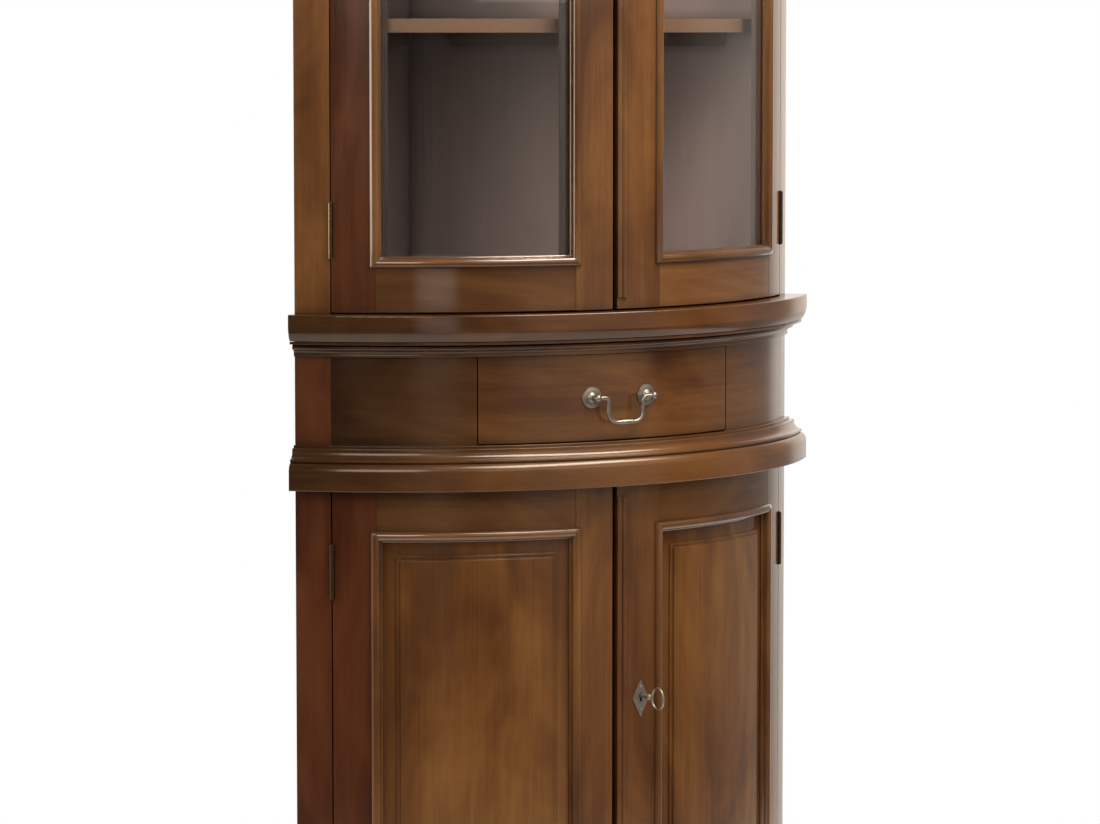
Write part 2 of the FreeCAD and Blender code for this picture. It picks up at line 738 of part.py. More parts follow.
def flush_bolt(name, door_top):
    rod = upright_rod(name + "_rod", "flush_radius", FLUSH_RADIUS, "-flush_length", "-flush_sunk")
    knob = radial_rod(name + "_knob", "knob_radius", f"{DOOR_BACK} - knob_reach", FLUSH_RADIUS, KNOB_LEVEL)
    return swing(fuse(name, [rod, knob]), "-flush_arc", door_top)


def flush_bore(name, door_top):
    bore = upright_rod(name + "_bore", "flush_radius + flush_clear", FLUSH_RADIUS,
                       "-flush_length - flush_sunk", "flush_sunk")
    slot_low = ("-knob_radius - latch_clear", f"-{FLUSH_RADIUS}", f"{KNOB_LEVEL} - knob_radius - latch_clear")
    slot_size = ("2 * knob_radius + 2 * latch_clear", "door_thick",
                 "2 * knob_radius + flush_throw + 2 * latch_clear")
    return swing(fuse(name, [bore, box(name + "_slot", slot_low, slot_size)]), "-flush_arc", door_top)


# Doors
def bead_length(name, depth, lip, tongue):
    """One length of bead: a lip on the frame's face and a tongue of some depth in the opening."""
    face = ring_block(name + "_lip", "front_radius", "front_radius + bead_proud", *lip)
    back = ring_block(name + "_tongue", f"front_radius - {depth}", "front_radius", *tongue)
    return fuse(name, [face, back])


def front_beads(name, depth, low, high):
    """Four bead lengths round an opening: uprights full height, cross lengths between them."""
    inner, outer = "opening_inner", OPENING_OUTER
    tall = (f"{low} - bead_lip", f"{high} + bead_lip")
    wide = (f"{inner} + bead_cover", f"{outer} - bead_cover")
    lip_low = (*wide, f"{low} - bead_lip", f"{low} + bead_cover")
    lip_high = (*wide, f"{high} - bead_cover", f"{high} + bead_lip")
    lip_inner = (f"{inner} - bead_lip", wide[0], *tall)
    lip_outer = (wide[1], f"{outer} + bead_lip", *tall)
    return [
        bead_length(name + "_inner", depth, lip_inner, (inner, wide[0], low, high)),
        bead_length(name + "_outer", depth, lip_outer, (wide[1], outer, low, high)),
        bead_length(name + "_low", depth, lip_low, (*wide, low, f"{low} + bead_cover")),
        bead_length(name + "_high", depth, lip_high, (*wide, f"{high} - bead_cover", high)),
    ]


def back_beads(name, depth, low, high):
    """Four plain lengths that hold a pane or panel from behind, the cross ones narrower."""
    inner, outer = "opening_inner", OPENING_OUTER
    radii = (DOOR_BACK, f"front_radius - ({depth})")
    wide = (f"{inner} + back_bead", f"{outer} - back_bead")
    return [
        ring_block(name + "_inner", *radii, inner, wide[0], low, high),
        ring_block(name + "_outer", *radii, wide[1], outer, low, high),
        ring_block(name + "_low", *radii, *wide, low, f"{low} + bead_cover"),
        ring_block(name + "_high", *radii, *wide, f"{high} - bead_cover", high),
    ]


def glass_pane(name, low, high):
    outer = "front_radius - glass_depth"
    return ring_block(name, f"{outer} - glass_thick", outer, "opening_inner", OPENING_OUTER, low, high)


def raised_panel(name, low, high):
    """Bent panel with a stepped edge round its raised field."""
    face = "front_radius - panel_depth"
    back = f"{face} - panel_thick"
    layers = []
    for index, (margin, rise) in enumerate((
        ("0", "0"),
        ("bead_cover + panel_margin", "step_raise"),
        ("bead_cover + panel_margin + panel_step", "field_raise"),
    )):
        layers.append(ring_block(
            f"{name}_layer{index}", back, f"{face} + {rise}", f"opening_inner + {margin}",
            f"{OPENING_OUTER} - ({margin})", f"{low} + {margin}", f"{high} - ({margin})",
        ))
    return fuse(name, layers)


def meeting_strip(name, low, high):
    """Bead strip on the right meeting stile, stopped short of the door's ends."""
    return ring_block(name, "front_radius", "front_radius + strip_proud", "-meeting_offset",
                      "strip_width - meeting_offset", f"{low} + strip_short", f"{high} - strip_short")


def door_pair(prefix, low, high, rail, notches, hinge_levels, infill, infill_word, lock_level):
    """Right and left doors of one storey, with their locks, bolts and hinges."""
    right = f"{prefix}_right_door"
    left = f"{prefix}_left_door"
    span = (low, high)
    frame = (DOOR_BACK, "front_radius")
    hinge_blank = ring_block(f"{prefix}_hinge_blank", *frame, OPENING_OUTER, DOOR_EDGE, *span)
    hinge_side = cut(f"{prefix}_hinge_stile", hinge_blank, notches)

    right_blank = ring_block(f"{prefix}_meeting_blank", *frame, "-meeting_offset", "opening_inner", *span)
    right_stile = cut(f"{prefix}_meeting", right_blank, lock_mortise(f"{prefix}_mortise", lock_level))
    sub_part(group(right + "_frame", [hinge_side, right_stile]), right + "_stiles")

    edge = "meeting_offset + meeting_gap"
    lip_end = f"{edge} + rebate_width"
    lip = ring_block(f"{prefix}_lip", DOOR_BACK, "front_radius - rebate_depth", edge, lip_end, *span)
    full = ring_block(f"{prefix}_full", *frame, lip_end, "opening_inner", *span)
    left_blank = mirrored(f"{prefix}_left_blank", fuse(f"{prefix}_rebated", [full, lip]))
    struck = cut(f"{prefix}_struck", left_blank, strike_hole(f"{prefix}_strike", lock_level))
    left_stile = cut(f"{prefix}_left_meeting", struck, flush_bore(f"{prefix}_flush_bore", high))
    left_hinge_side = mirrored(f"{prefix}_left_hinge_stile", hinge_side)
    sub_part(group(left + "_frame", [left_hinge_side, left_stile]), left + "_stiles")

    opening = (f"{low} + {rail}", f"{high} - {rail}")
    cross = ("opening_inner", OPENING_OUTER)
    rails = group(f"{prefix}_rail_pair", [
        ring_block(f"{prefix}_low_rail", *frame, *cross, low, opening[0]),
        ring_block(f"{prefix}_high_rail", *frame, *cross, opening[1], high),
    ])
    front_depth = f"{infill_word}_depth"
    beads = front_beads(f"{prefix}_bead", front_depth, *opening)
    beads += back_beads(f"{prefix}_back_bead", f"{front_depth} + {infill_word}_thick", *opening)
    leaves = group(f"{prefix}_leaf_pair", hinge_set(f"{prefix}_leaf", door_leaf, hinge_levels))
    twins = {
        "rails": rails,
        infill_word: infill(f"{prefix}_{infill_word}", *opening),
        "bead": group(f"{prefix}_bead_set", beads),
        "hinge_leaves": leaves,
    }
    for word, piece in twins.items():
        sub_part(piece, f"{right}_{word}")
        sub_part(mirrored(f"{left}_{word}_twin", piece), f"{left}_{word}")

    sub_part(meeting_strip(f"{prefix}_strip", low, high), right + "_meeting_strip")
    sub_part(lock_case(f"{prefix}_case", lock_level), f"{prefix}_lock_case")
    sub_part(latch(f"{prefix}_latch", lock_level), f"{prefix}_lock_bolt")
    sub_part(escutcheon(f"{prefix}_plate", lock_level), f"{prefix}_escutcheon")
    sub_part(key(f"{prefix}_key_blank", lock_level), f"{prefix}_key")
    sub_part(flush_bolt(f"{prefix}_flush", high), f"{prefix}_flush_bolt")


door_pair("lower", LOWER_BOTTOM, LOWER_TOP, "lower_rail", lower_notches, LOWER_HINGES,
          raised_panel, "panel", "lower_lock_height")
door_pair("upper", UPPER_BOTTOM, UPPER_TOP, "upper_rail", upper_notches, UPPER_HINGES,
          glass_pane, "glass", "upper_lock_height")

# Drawer
FRONT_BACK = "(front_radius - drawer_front_thick)"
BOX_HALF = f"({STILE_BACK} * sin({turn('drawer_half')}) - drawer_side_gap)"
BOX_INNER = f"({BOX_HALF} - drawer_side_thick)"
BOX_BACK = f"({CORNER_Y} - sqrt(2) * side_thick - {BOX_HALF} - drawer_back_gap)"
BOX_FRONT = f"({ARC_Y} - front_radius)"
BOX_LOW = f"({DRAWER_Z} + slide_gap)"
FRONT_HALF = "(drawer_half - drawer_gap)"

front = ring_block("front_board", FRONT_BACK, "front_radius", f"-{FRONT_HALF}", FRONT_HALF,
                   f"{DRAWER_Z} + drawer_gap", f"{DRAWER_TOP} - drawer_gap")
sub_part(front, "drawer_front")
behind_front = cylinder("behind_front", FRONT_BACK, "0", "total_height")
side_plank = box("drawer_side_plank", (BOX_INNER, BOX_FRONT, BOX_LOW),
                 ("drawer_side_thick", f"{BOX_BACK} - {BOX_FRONT}", "drawer_side_height"))
sub_part(pair("drawer_side_pair", common("drawer_side", side_plank, behind_front)), "drawer_sides")
sub_part(box("drawer_back_board", (f"-{BOX_INNER}", f"{BOX_BACK} - drawer_side_thick", BOX_LOW),
             (f"2 * {BOX_INNER}", "drawer_side_thick", "drawer_side_height")), "drawer_back")
bottom_plank = box("drawer_bottom_plank", (f"-{BOX_INNER}", BOX_FRONT, f"{BOX_LOW} + bottom_rise"),
                   (f"2 * {BOX_INNER}", f"{BOX_BACK} - drawer_side_thick - {BOX_FRONT}", "bottom_thick"))
sub_part(common("drawer_bottom_board", bottom_plank, behind_front), "drawer_bottom")

inside = board("inside", "side_thick", STILE_BACK, "0", "total_height")
runner_length = f"{CORNER_Y} - {BOX_FRONT}"
ledge = box("runner_ledge_plank", (f"{BOX_INNER} - runner_ledge", BOX_FRONT, DECK_TOP),
            ("drawer_side_thick + runner_ledge + runner_guide", runner_length, "cove_height"))
guide = box("runner_guide_plank", (f"{BOX_HALF} + slide_gap", BOX_FRONT, DECK_TOP),
            ("runner_guide - slide_gap", runner_length, "cove_height + guide_height"))
runner = common("runner", fuse("runner_blank", [ledge, guide]), inside)
sub_part(pair("runner_pair", runner), "drawer_runners")

# Drawer pull: a plate, collar, post and boss on each side, and the bail that swings in the bosses
PULL_Z = f"({DRAWER_Z} + drawer_opening / 2)"
BOSS_REACH = "(front_radius + post_reach)"
BAIL_Y = f"({ARC_Y} - {BOSS_REACH} * cos({turn('pull_half')}))"
BOSS_X = f"({BOSS_REACH} * sin({turn('pull_half')}))"
PLATE_FACE = "(front_radius + rosette_thick)"

boss = doc.addObject("Part::Sphere", "boss")
bind(boss, {"Radius": "boss_radius", "Placement.Base.y": f"-{BOSS_REACH}"})
rosette_blank = swing(fuse("rosette_blank", [
    radial_rod("rosette_plate", "rosette_radius", FRONT_BACK, PLATE_FACE),
    radial_rod("rosette_collar", "collar_radius", FRONT_BACK, f"{PLATE_FACE} + collar_thick"),
    radial_rod("rosette_post", "post_radius", FRONT_BACK, BOSS_REACH),
    boss,
]), "pull_half", PULL_Z)
seated = cut("rosette_seated", rosette_blank, cylinder("pull_seat", "front_radius", "0", "total_height"))
eye = cross_rod("boss_eye", "bail_radius + bail_clear", "0", f"{BOSS_X} + 2 * boss_radius", PULL_Z)
bind(eye, {"Placement.Base.y": BAIL_Y})
sub_part(pair("rosette_pair", cut("rosette", seated, eye)), "pull_rosettes")


def bail_corner(name, across, up, x_axis, y_axis):
    """Quarter bend of the bail's wire, from the direction x_axis to y_axis."""
    item = doc.addObject("Part::Torus", name)
    item.Angle3 = 90
    turned_to = FreeCAD.Rotation(x_axis, y_axis, x_axis.cross(y_axis), "XYZ")
    item.Placement = FreeCAD.Placement(FreeCAD.Vector(), turned_to)
    bind(item, {"Radius1": "bail_bend", "Radius2": "bail_radius"})
    return bind(item, {"Placement.Base.x": across, "Placement.Base.z": up})


leg = doc.addObject("Part::Cylinder", "bail_leg")
bind(leg, {"Radius": "bail_radius", "Height": "bail_drop - 2 * bail_bend"})
bind(leg, {"Placement.Base.x": "bail_half", "Placement.Base.z": "bail_bend - bail_drop"})
half_bail = fuse("half_bail", [
    cross_rod("bail_pin", "bail_radius", "bail_half + bail_bend", f"{BOSS_X} + boss_radius / 2", "0"),
    bail_corner("bail_shoulder", "bail_half + bail_bend", "-bail_bend", -ACROSS, UP),
    leg,
    bail_corner("bail_foot", "bail_half - bail_bend", "bail_bend - bail_drop", -UP, ACROSS),
    cross_rod("bail_bar", "bail_radius", "0", "bail_half - bail_bend", "-bail_drop"),
])
bail = fuse("bail", [half_bail, mirrored("bail_left", half_bail)])
bind(bail, {"Placement.Base.y": BAIL_Y, "Placement.Base.z": PULL_Z})
sub_part(bail, "pull_bail")

doc.recompute()
for item in doc.Objects:
    if {"Invalid", "Error"} & set(item.State):
        raise RuntimeError(f"{item.Label} failed: {item.State}")
for item in sub_parts:
    if item.Shape.isNull() or not item.Shape.isValid() or not item.Shape.Solids:
        raise RuntimeError(f"{item.Label} has no valid solid")

os.makedirs("parts", exist_ok=True)
for item in sub_parts:
    item.Shape.exportStep(f"parts/{item.Label}.step")
print(f"{len(sub_parts)} sub-parts written")
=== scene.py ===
import json
import math
from contextlib import contextmanager

import bmesh
import bpy
from bpy.props import FloatProperty, FloatVectorProperty, IntProperty, PointerProperty
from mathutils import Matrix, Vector

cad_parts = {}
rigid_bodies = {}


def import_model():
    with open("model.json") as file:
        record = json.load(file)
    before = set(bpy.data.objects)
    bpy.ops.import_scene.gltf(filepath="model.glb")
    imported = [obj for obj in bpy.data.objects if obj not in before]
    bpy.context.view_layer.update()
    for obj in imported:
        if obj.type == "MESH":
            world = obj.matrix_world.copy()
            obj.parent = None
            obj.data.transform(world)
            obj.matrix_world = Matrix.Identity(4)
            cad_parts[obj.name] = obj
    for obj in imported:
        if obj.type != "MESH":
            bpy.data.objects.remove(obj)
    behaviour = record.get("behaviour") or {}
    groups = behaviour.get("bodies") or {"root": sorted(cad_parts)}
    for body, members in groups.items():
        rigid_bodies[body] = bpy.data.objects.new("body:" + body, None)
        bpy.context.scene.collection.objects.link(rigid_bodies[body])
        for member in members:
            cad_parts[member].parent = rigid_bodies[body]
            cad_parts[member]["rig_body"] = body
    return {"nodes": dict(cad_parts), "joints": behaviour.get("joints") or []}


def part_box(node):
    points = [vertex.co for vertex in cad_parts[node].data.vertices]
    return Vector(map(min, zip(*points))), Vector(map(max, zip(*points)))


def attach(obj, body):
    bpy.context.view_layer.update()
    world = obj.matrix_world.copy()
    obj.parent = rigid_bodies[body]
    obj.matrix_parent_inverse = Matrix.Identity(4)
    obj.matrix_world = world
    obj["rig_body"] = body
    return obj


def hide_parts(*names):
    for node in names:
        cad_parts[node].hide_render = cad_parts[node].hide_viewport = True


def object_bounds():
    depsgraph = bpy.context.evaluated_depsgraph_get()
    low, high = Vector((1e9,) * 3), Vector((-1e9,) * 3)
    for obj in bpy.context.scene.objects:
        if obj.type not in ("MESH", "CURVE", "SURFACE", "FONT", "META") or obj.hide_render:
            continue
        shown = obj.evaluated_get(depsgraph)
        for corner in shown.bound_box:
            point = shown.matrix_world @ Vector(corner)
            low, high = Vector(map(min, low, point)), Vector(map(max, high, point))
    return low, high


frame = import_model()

bl_info = {
    "name": "Bow-front corner cabinet",
    "version": (1, 0, 0),
    "blender": (4, 5, 0),
    "location": "View3D > Sidebar > Cabinet",
    "description": "Dresses the frame of a bow-front corner cabinet in wood, glass and metal",
    "category": "Object",
}

# Bent pieces are modelled flat, with X as the arc length along the bow's face, Y as the depth
# behind that face and Z as the height, and are then bent to the bow.

NODES = frame["nodes"]
JOINTS = {joint["name"]: joint for joint in frame["joints"]}
CAD_BOX = [list(corner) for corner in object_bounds()]

MM = 0.001
FRONT_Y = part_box("drawer_front")[0].y
CORNER_Y = CAD_BOX[1][1]
STOREYS = ("upper", "lower")
SIDES = ("left", "right")
DOORS = [f"{storey}_{side}_door" for storey in STOREYS for side in SIDES]
X_AXIS = Vector((1, 0, 0))
Y_AXIS = Vector((0, 1, 0))
Z_AXIS = Vector((0, 0, 1))
MERGE = MM / 100

# Uprights further left than this are redder, and faces count as facing a way above these cosines.
LEFT_END = 0.25
FACING = 0.9
WALLWARD = 0.6
BOWED = 0.98


def size_property(name, description, default):
    return FloatProperty(name=name, description=description, default=default, unit="LENGTH", precision=5)


def colour_property(name, description, default):
    return FloatVectorProperty(
        name=name, description=description, default=default, subtype="COLOR", min=0, max=1
    )


def angle_property(name, description, degrees):
    return FloatProperty(name=name, description=description, default=math.radians(degrees), subtype="ANGLE")


def power_property(name, description, default):
    return FloatProperty(name=name, description=description, default=default, subtype="POWER")


class CabinetSizes(bpy.types.PropertyGroup):
    """Sizes of the details that the finished pieces add."""

    bow_radius: size_property("Bow radius", "Radius of the bowed front", 0.51)
    rib_spacing: size_property("Rib spacing", "Width of one flat facet of a bent piece", 0.011)
    board_ease: size_property("Board arris", "Softening of the arrises of boards", 0.0009)
    metal_ease: size_property("Metal arris", "Softening of the arrises of hinges and locks", 0.0002)
    bead_proud: size_property("Bead height", "How far the door beads stand out of the face", 0.005)
    bead_round: size_property("Bead round", "Width of the half-round on the door beads", 0.0116)
    bead_width: size_property("Bead width", "Whole width of the door beads", 0.014)
    bead_lip: size_property("Bead lip", "How far the door beads lie on the frame", 0.007)
    bead_tongue: size_property("Bead tongue", "Depth of the door beads in the opening", 0.008)
    back_bead: size_property("Back bead", "Width of the beads behind the panes and panels", 0.015)
    back_slope: size_property("Back bead slope", "Chamfer on the beads behind the panes and panels", 0.0042)
    door_thick: size_property("Door thickness", "Thickness of the door frames", 0.022)
    panel_margin: size_property("Panel margin", "Flat margin between a bead and the raised field", 0.017)
    panel_step: size_property("Panel step", "Width of the step round the raised field", 0.0052)
    panel_raise: size_property("Panel rise", "Height of each of the two steps of a panel", 0.0025)
    panel_thick: size_property("Panel thickness", "Thickness of a panel at its margin", 0.007)
    glass_thick: size_property("Glass thickness", "Thickness of the bent panes", 0.003)
    drawer_front_thick: size_property("Drawer front", "Thickness of the drawer front", 0.02)
    drawer_ease: size_property("Drawer arris", "Softening of the drawer front's arrises", 0.0014)
    drawer_gap: size_property("Drawer gap", "Gap all round the drawer front", 0.001)
    frieze_thick: size_property("Frieze thickness", "Thickness of the frieze", 0.022)
    strip_proud: size_property("Strip height", "How far the meeting beads stand out", 0.0035)
    plate_thick: size_property("Plate thickness", "Thickness of the key plates", 0.0012)
    plate_drop: size_property("Plate drop", "How far a key plate's middle lies below its keyhole", 0.003)
    key_wire: size_property("Key wire", "Half the thickness of a key's bow", 0.00135)


class CabinetFinish(bpy.types.PropertyGroup):
    """Colours and gloss of the finishes."""

    mahogany_dark: colour_property("Dark mahogany", "Dark streaks of the stained wood", (0.05, 0.0165, 0.006))
    mahogany_mid: colour_property("Mahogany", "Ground colour of the stained wood", (0.122, 0.0445, 0.0125))
    mahogany_light: colour_property("Light mahogany", "Golden streaks of the wood", (0.2, 0.088, 0.0245))
    inside_wood: colour_property("Inside wood", "Shelves and boards inside", (0.12, 0.062, 0.035))
    # Own grey-violet tone of the beads behind the panes and panels, darkened as painted shade.
    back_bead_tone_and_shade: colour_property("Back beads", "Beads behind the panes and panels", (0.075, 0.047, 0.043))
    inside_wall: colour_property("Inside walls", "Inner faces of the side boards", (0.49, 0.362, 0.347))
    drawer_wood: colour_property("Drawer wood", "Unstained drawer box", (0.42, 0.26, 0.13))
    bronze: colour_property("Old bronze", "Pull, keys and key plates", (0.34, 0.295, 0.245))
    brass: colour_property("Hinge brass", "Hinge leaves and pins", (0.15, 0.098, 0.052))
    steel: colour_property("Lock steel", "Lock cases and bolts", (0.34, 0.33, 0.31))
    glass_tint: colour_property("Glass tint", "Tint of the bent panes", (0.97, 0.98, 0.97))
    wood_roughness: FloatProperty(
        name="Wood roughness", description="Roughness of the polished wood", default=0.21, min=0, max=1
    )
    grain_count: FloatProperty(
        name="Grain", description="Streaks to the metre across the grain", default=260, min=1
    )


class CabinetStage(bpy.types.PropertyGroup):
    """Camera, lights and floor."""

    camera_place: FloatVectorProperty(
        name="Camera", description="Where the camera stands", default=(-3.06635, -4.89413, 1.33895),
        subtype="TRANSLATION",
    )
    camera_turn: angle_property("Camera turn", "Turn of the camera to the right", 32.5)
    camera_tilt: angle_property("Camera tilt", "Tilt of the camera below level", 5.078)
    camera_lens: FloatProperty(
        name="Lens", description="Focal length on a 36 mm wide sensor", default=143.13,
        subtype="DISTANCE_CAMERA",
    )
    high_softbox_power: power_property("High softbox", "Power of the high softbox on the right", 88)
    front_panel_power: power_property("Front panel", "Power of the broad softbox in front", 10)
    left_front_softbox_power: power_property(
        "Left front softbox", "Power of the softbox that shines into the hutch", 24
    )
    left_back_softbox_power: power_property(
        "Left back softbox", "Power of the long softbox that rims the beads", 44
    )
    floor_colour: colour_property("Floor", "Pale floor", (0.8, 0.78, 0.75))
    floor_radius: size_property("Floor radius", "Radius of the floor round the cabinet", 1.6)
    facets: IntProperty(name="Facets", description="Sides of the floor's edge", default=96, min=12)


def sizes():
    return bpy.context.scene.cabinet_sizes


def finish():
    return bpy.context.scene.cabinet_finish


# Modelling


def activate(piece):
    bpy.ops.object.select_all(action="DESELECT")
    piece.select_set(True)
    bpy.context.view_layer.objects.active = piece


@contextmanager
def editing(piece, kind="VERT"):
    """Edit mode on one piece, with all of it selected."""
    activate(piece)
    bpy.ops.object.mode_set(mode="EDIT")
    bpy.ops.mesh.select_mode(type=kind)
    bpy.ops.mesh.select_all(action="SELECT")
    yield
    bpy.ops.object.mode_set(mode="OBJECT")


def pick(piece, kind, test):
    """Select the edges or faces that pass a test of their place or normal."""
    bpy.ops.mesh.select_mode(type=kind)
    bpy.ops.mesh.select_all(action="DESELECT")
    mesh = bmesh.from_edit_mesh(piece.data)
    for item in mesh.faces if kind == "FACE" else mesh.edges:
        item.select_set(test(item))
    mesh.select_flush_mode()
    bmesh.update_edit_mesh(piece.data)


def sharp(edge, angle=math.radians(30)):
    return edge.calc_face_angle(0) > angle


def runs_level(edge):
    first, second = edge.verts
    return abs(first.co.z - second.co.z) < MM


def apply_place(piece):
    activate(piece)
    bpy.ops.object.transform_apply(location=True, rotation=True, scale=True)
    return piece


def added(name):
    """Name the primitive that was just added and put its place in its mesh."""
    piece = bpy.context.object
    piece.name = name
    return apply_place(piece)


def start_cube(name, low, high):
    bpy.ops.object.select_all(action="DESELECT")
    low, high = Vector(low), Vector(high)
    bpy.ops.mesh.primitive_cube_add(size=1, location=(low + high) / 2, scale=high - low)
    return added(name)


def start_cylinder(name, radius, start, end, vertices=32):
    """Cylinder from one point to another."""
    bpy.ops.object.select_all(action="DESELECT")
    start, end = Vector(start), Vector(end)
    bpy.ops.mesh.primitive_cylinder_add(
        vertices=vertices, radius=radius, depth=(end - start).length, location=(start + end) / 2,
        rotation=(end - start).to_track_quat("Z", "Y").to_euler(),
    )
    return added(name)


def draw_chain(name, points, close=True):
    """Outline drawn by extruding one corner from point to point."""
    points = [Vector(point) for point in points]
    bpy.ops.object.select_all(action="DESELECT")
    bpy.ops.mesh.primitive_plane_add(size=MM, location=points[0])
    piece = added(name)
    with editing(piece):
        bpy.ops.mesh.merge(type="CENTER")
        for start, end in zip(points, points[1:]):
            bpy.ops.mesh.extrude_vertices_move(TRANSFORM_OT_translate={"value": end - start})
        bpy.ops.mesh.select_all(action="SELECT")
        if close:
            bpy.ops.mesh.edge_face_add()
    return piece


def draw_out(way):
    """Extrude the chosen faces of the piece in edit mode."""
    bpy.ops.mesh.extrude_region_move(TRANSFORM_OT_translate={"value": way})


def knit():
    """Merge the doubled corners of the piece in edit mode and turn its faces outward."""
    bpy.ops.mesh.select_all(action="SELECT")
    bpy.ops.mesh.remove_doubles(threshold=MERGE)
    bpy.ops.mesh.normals_make_consistent(inside=False)


def extrude(piece, way):
    """Solid drawn out from the face of an outline."""
    with editing(piece, "FACE"):
        draw_out(way)
        bpy.ops.mesh.select_all(action="SELECT")
        bpy.ops.mesh.normals_make_consistent(inside=False)
    return piece


def ease(piece, width, test=sharp, segments=2):
    """Soften the arrises that pass a test."""
    with editing(piece, "EDGE"):
        pick(piece, "EDGE", test)
        bpy.ops.mesh.bevel(offset=width, segments=segments, affect="EDGES", clamp_overlap=True)
    return piece


def turn_profile(name, points, steps=40):
    """Solid turned about the Y axis from (radius, Y) points."""
    piece = draw_chain(name, [(radius, depth, 0) for radius, depth in points], close=False)
    with editing(piece):
        bpy.ops.mesh.spin(steps=steps, angle=2 * math.pi, center=(0, 0, 0), axis=Y_AXIS)
        knit()
    return piece


def turned(spoke, angle):
    cos, sin = math.cos(angle), math.sin(angle)
    return Vector((spoke.x * cos - spoke.y * sin, spoke.x * sin + spoke.y * cos))


def arc_points(start, end, bend, count=9):
    """Points between two corners on an arc centred level with, or plumb of, one of them."""
    way, side = bend.split("_")
    pivot, other = (start, end) if side == "start" else (end, start)
    gap = other - pivot
    axis = 0 if way == "level" else 1
    centre = pivot.copy()
    centre[axis] += gap.length_squared / (2 * gap[axis])
    spoke = start - centre
    turn = spoke.angle_signed(end - centre)
    return [centre + turned(spoke, -turn * step / count) for step in range(1, count)]


def outline(corners):
    """Points of an outline given as (across, up, bend) corners, in millimetres."""
    places = [Vector((across, up)) * MM for across, up, bend in corners]
    points = []
    for index, (across, up, bend) in enumerate(corners):
        start, end = places[index], places[(index + 1) % len(corners)]
        points.append(start)
        points += arc_points(start, end, bend) if bend else []
    return points


def arc_of(x, depth):
    """Arc length along the bow's face of a point at X that lies a depth behind the face."""
    radius = sizes().bow_radius
    return radius * math.asin(x / (radius - depth))


def flat_box(node, front, back):
    """Lowest and highest corner of a bent node's flat pattern between two depths."""
    low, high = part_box(node)
    start = arc_of(low.x, back if low.x > 0 else front)
    end = arc_of(high.x, front if high.x > 0 else back)
    return Vector((start, front, low.z)), Vector((end, back, high.z))


def on_bow(arc, reach, level):
    """Point on the bow at an arc length, a reach in front of the face and a level."""
    radius = sizes().bow_radius
    angle = arc / radius
    out = radius + reach
    return Vector((out * math.sin(angle), FRONT_Y + radius - out * math.cos(angle), level))


def bow(piece):
    """Cut a flat piece into ribs and bend it to the bow."""
    radius = sizes().bow_radius
    across = [vertex.co.x for vertex in piece.data.vertices]
    start, width = min(across), max(across) - min(across)
    count = math.ceil(width / sizes().rib_spacing)
    with editing(piece):
        for step in range(1, count):
            bpy.ops.mesh.select_all(action="SELECT")
            bpy.ops.mesh.bisect(plane_co=(start + width * step / count, 0, 0), plane_no=X_AXIS)
    bend = piece.modifiers.new("bow", "SIMPLE_DEFORM")
    bend.deform_method = "BEND"
    bend.deform_axis = "Z"
    bend.angle = width / radius
    bpy.ops.object.modifier_apply(modifier=bend.name)
    piece.location.y = FRONT_Y
    return apply_place(piece)


def swing(piece, arc, level):
    """Carry a piece made at the bow's middle to its arc length and level."""
    piece.location = on_bow(arc, 0, level)
    piece.rotation_euler.z = arc / sizes().bow_radius
    return apply_place(piece)


def trim_at_walls(piece):
    """Cut a bent piece off at the two wall planes."""
    with editing(piece):
        for side in (-1, 1):
            bpy.ops.mesh.select_all(action="SELECT")
            bpy.ops.mesh.bisect(
                plane_co=(0, CORNER_Y, 0), plane_no=(side, 1, 0), clear_outer=True, use_fill=True
            )
    return piece


def join(pieces):
    """One piece of several, named as the first."""
    activate(pieces[0])
    for piece in pieces:
        piece.select_set(True)
    bpy.ops.object.join()
    return pieces[0]


def copy_of(piece, name):
    twin = bpy.data.objects.new(name, piece.data.copy())
    bpy.context.scene.collection.objects.link(twin)
    return twin


def cut(piece, cutter):
    """Take a cutter's shape out of a piece."""
    activate(piece)
    hole = piece.modifiers.new("hole", "BOOLEAN")
    hole.operation = "DIFFERENCE"
    hole.object = cutter
    bpy.ops.object.modifier_apply(modifier=hole.name)
    bpy.data.objects.remove(cutter)
    return piece


def polish(piece, angle=math.radians(42)):
    """Smooth shading that stays flat on the broad faces."""
    activate(piece)
    bpy.ops.object.shade_smooth_by_angle(angle=angle)
    weighted = piece.modifiers.new("broad_faces", "WEIGHTED_NORMAL")
    weighted.keep_sharp = True
    bpy.ops.object.modifier_apply(modifier=weighted.name)


def place(piece, nodes, *materials):
    """Polish a piece, dress it and let it stand for its frame nodes."""
    polish(piece)
    slots = piece.data.materials
    for index, material in enumerate(materials):
        if index < len(slots):
            slots[index] = material
        else:
            slots.append(material)
    first = NODES[nodes[0]]
    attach(piece, first["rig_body"])
    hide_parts(*nodes)
    return piece


def eased_copy(node, width, shortest=4 * MM):
    """Copy of a frame node with its triangles merged and its long arrises softened."""
    piece = copy_of(NODES[node], f"finished_{node}")
    with editing(piece):
        bpy.ops.mesh.customdata_custom_splitnormals_clear()
        bpy.ops.mesh.remove_doubles(threshold=MERGE)
        bpy.ops.mesh.dissolve_limited(angle_limit=math.radians(0.2))
    return ease(piece, width, lambda edge: sharp(edge) and edge.calc_length() > shortest)


def round_shading(piece):
    """Shade the bowed faces of a piece as true rounds about the bow's axis."""
    mesh = piece.data
    axis = Vector((0, FRONT_Y + sizes().bow_radius, 0))
    normals = [corner.vector.copy() for corner in mesh.corner_normals]
    for face in mesh.polygons:
        for corner in face.loop_indices:
            out = mesh.vertices[mesh.loops[corner].vertex_index].co - axis
            out.z = 0
            out.normalize()
            along = out.dot(face.normal)
            if abs(along) > BOWED:
                normals[corner] = math.copysign(1, along) * out
    mesh.normals_split_custom_set(normals)


# Finishes


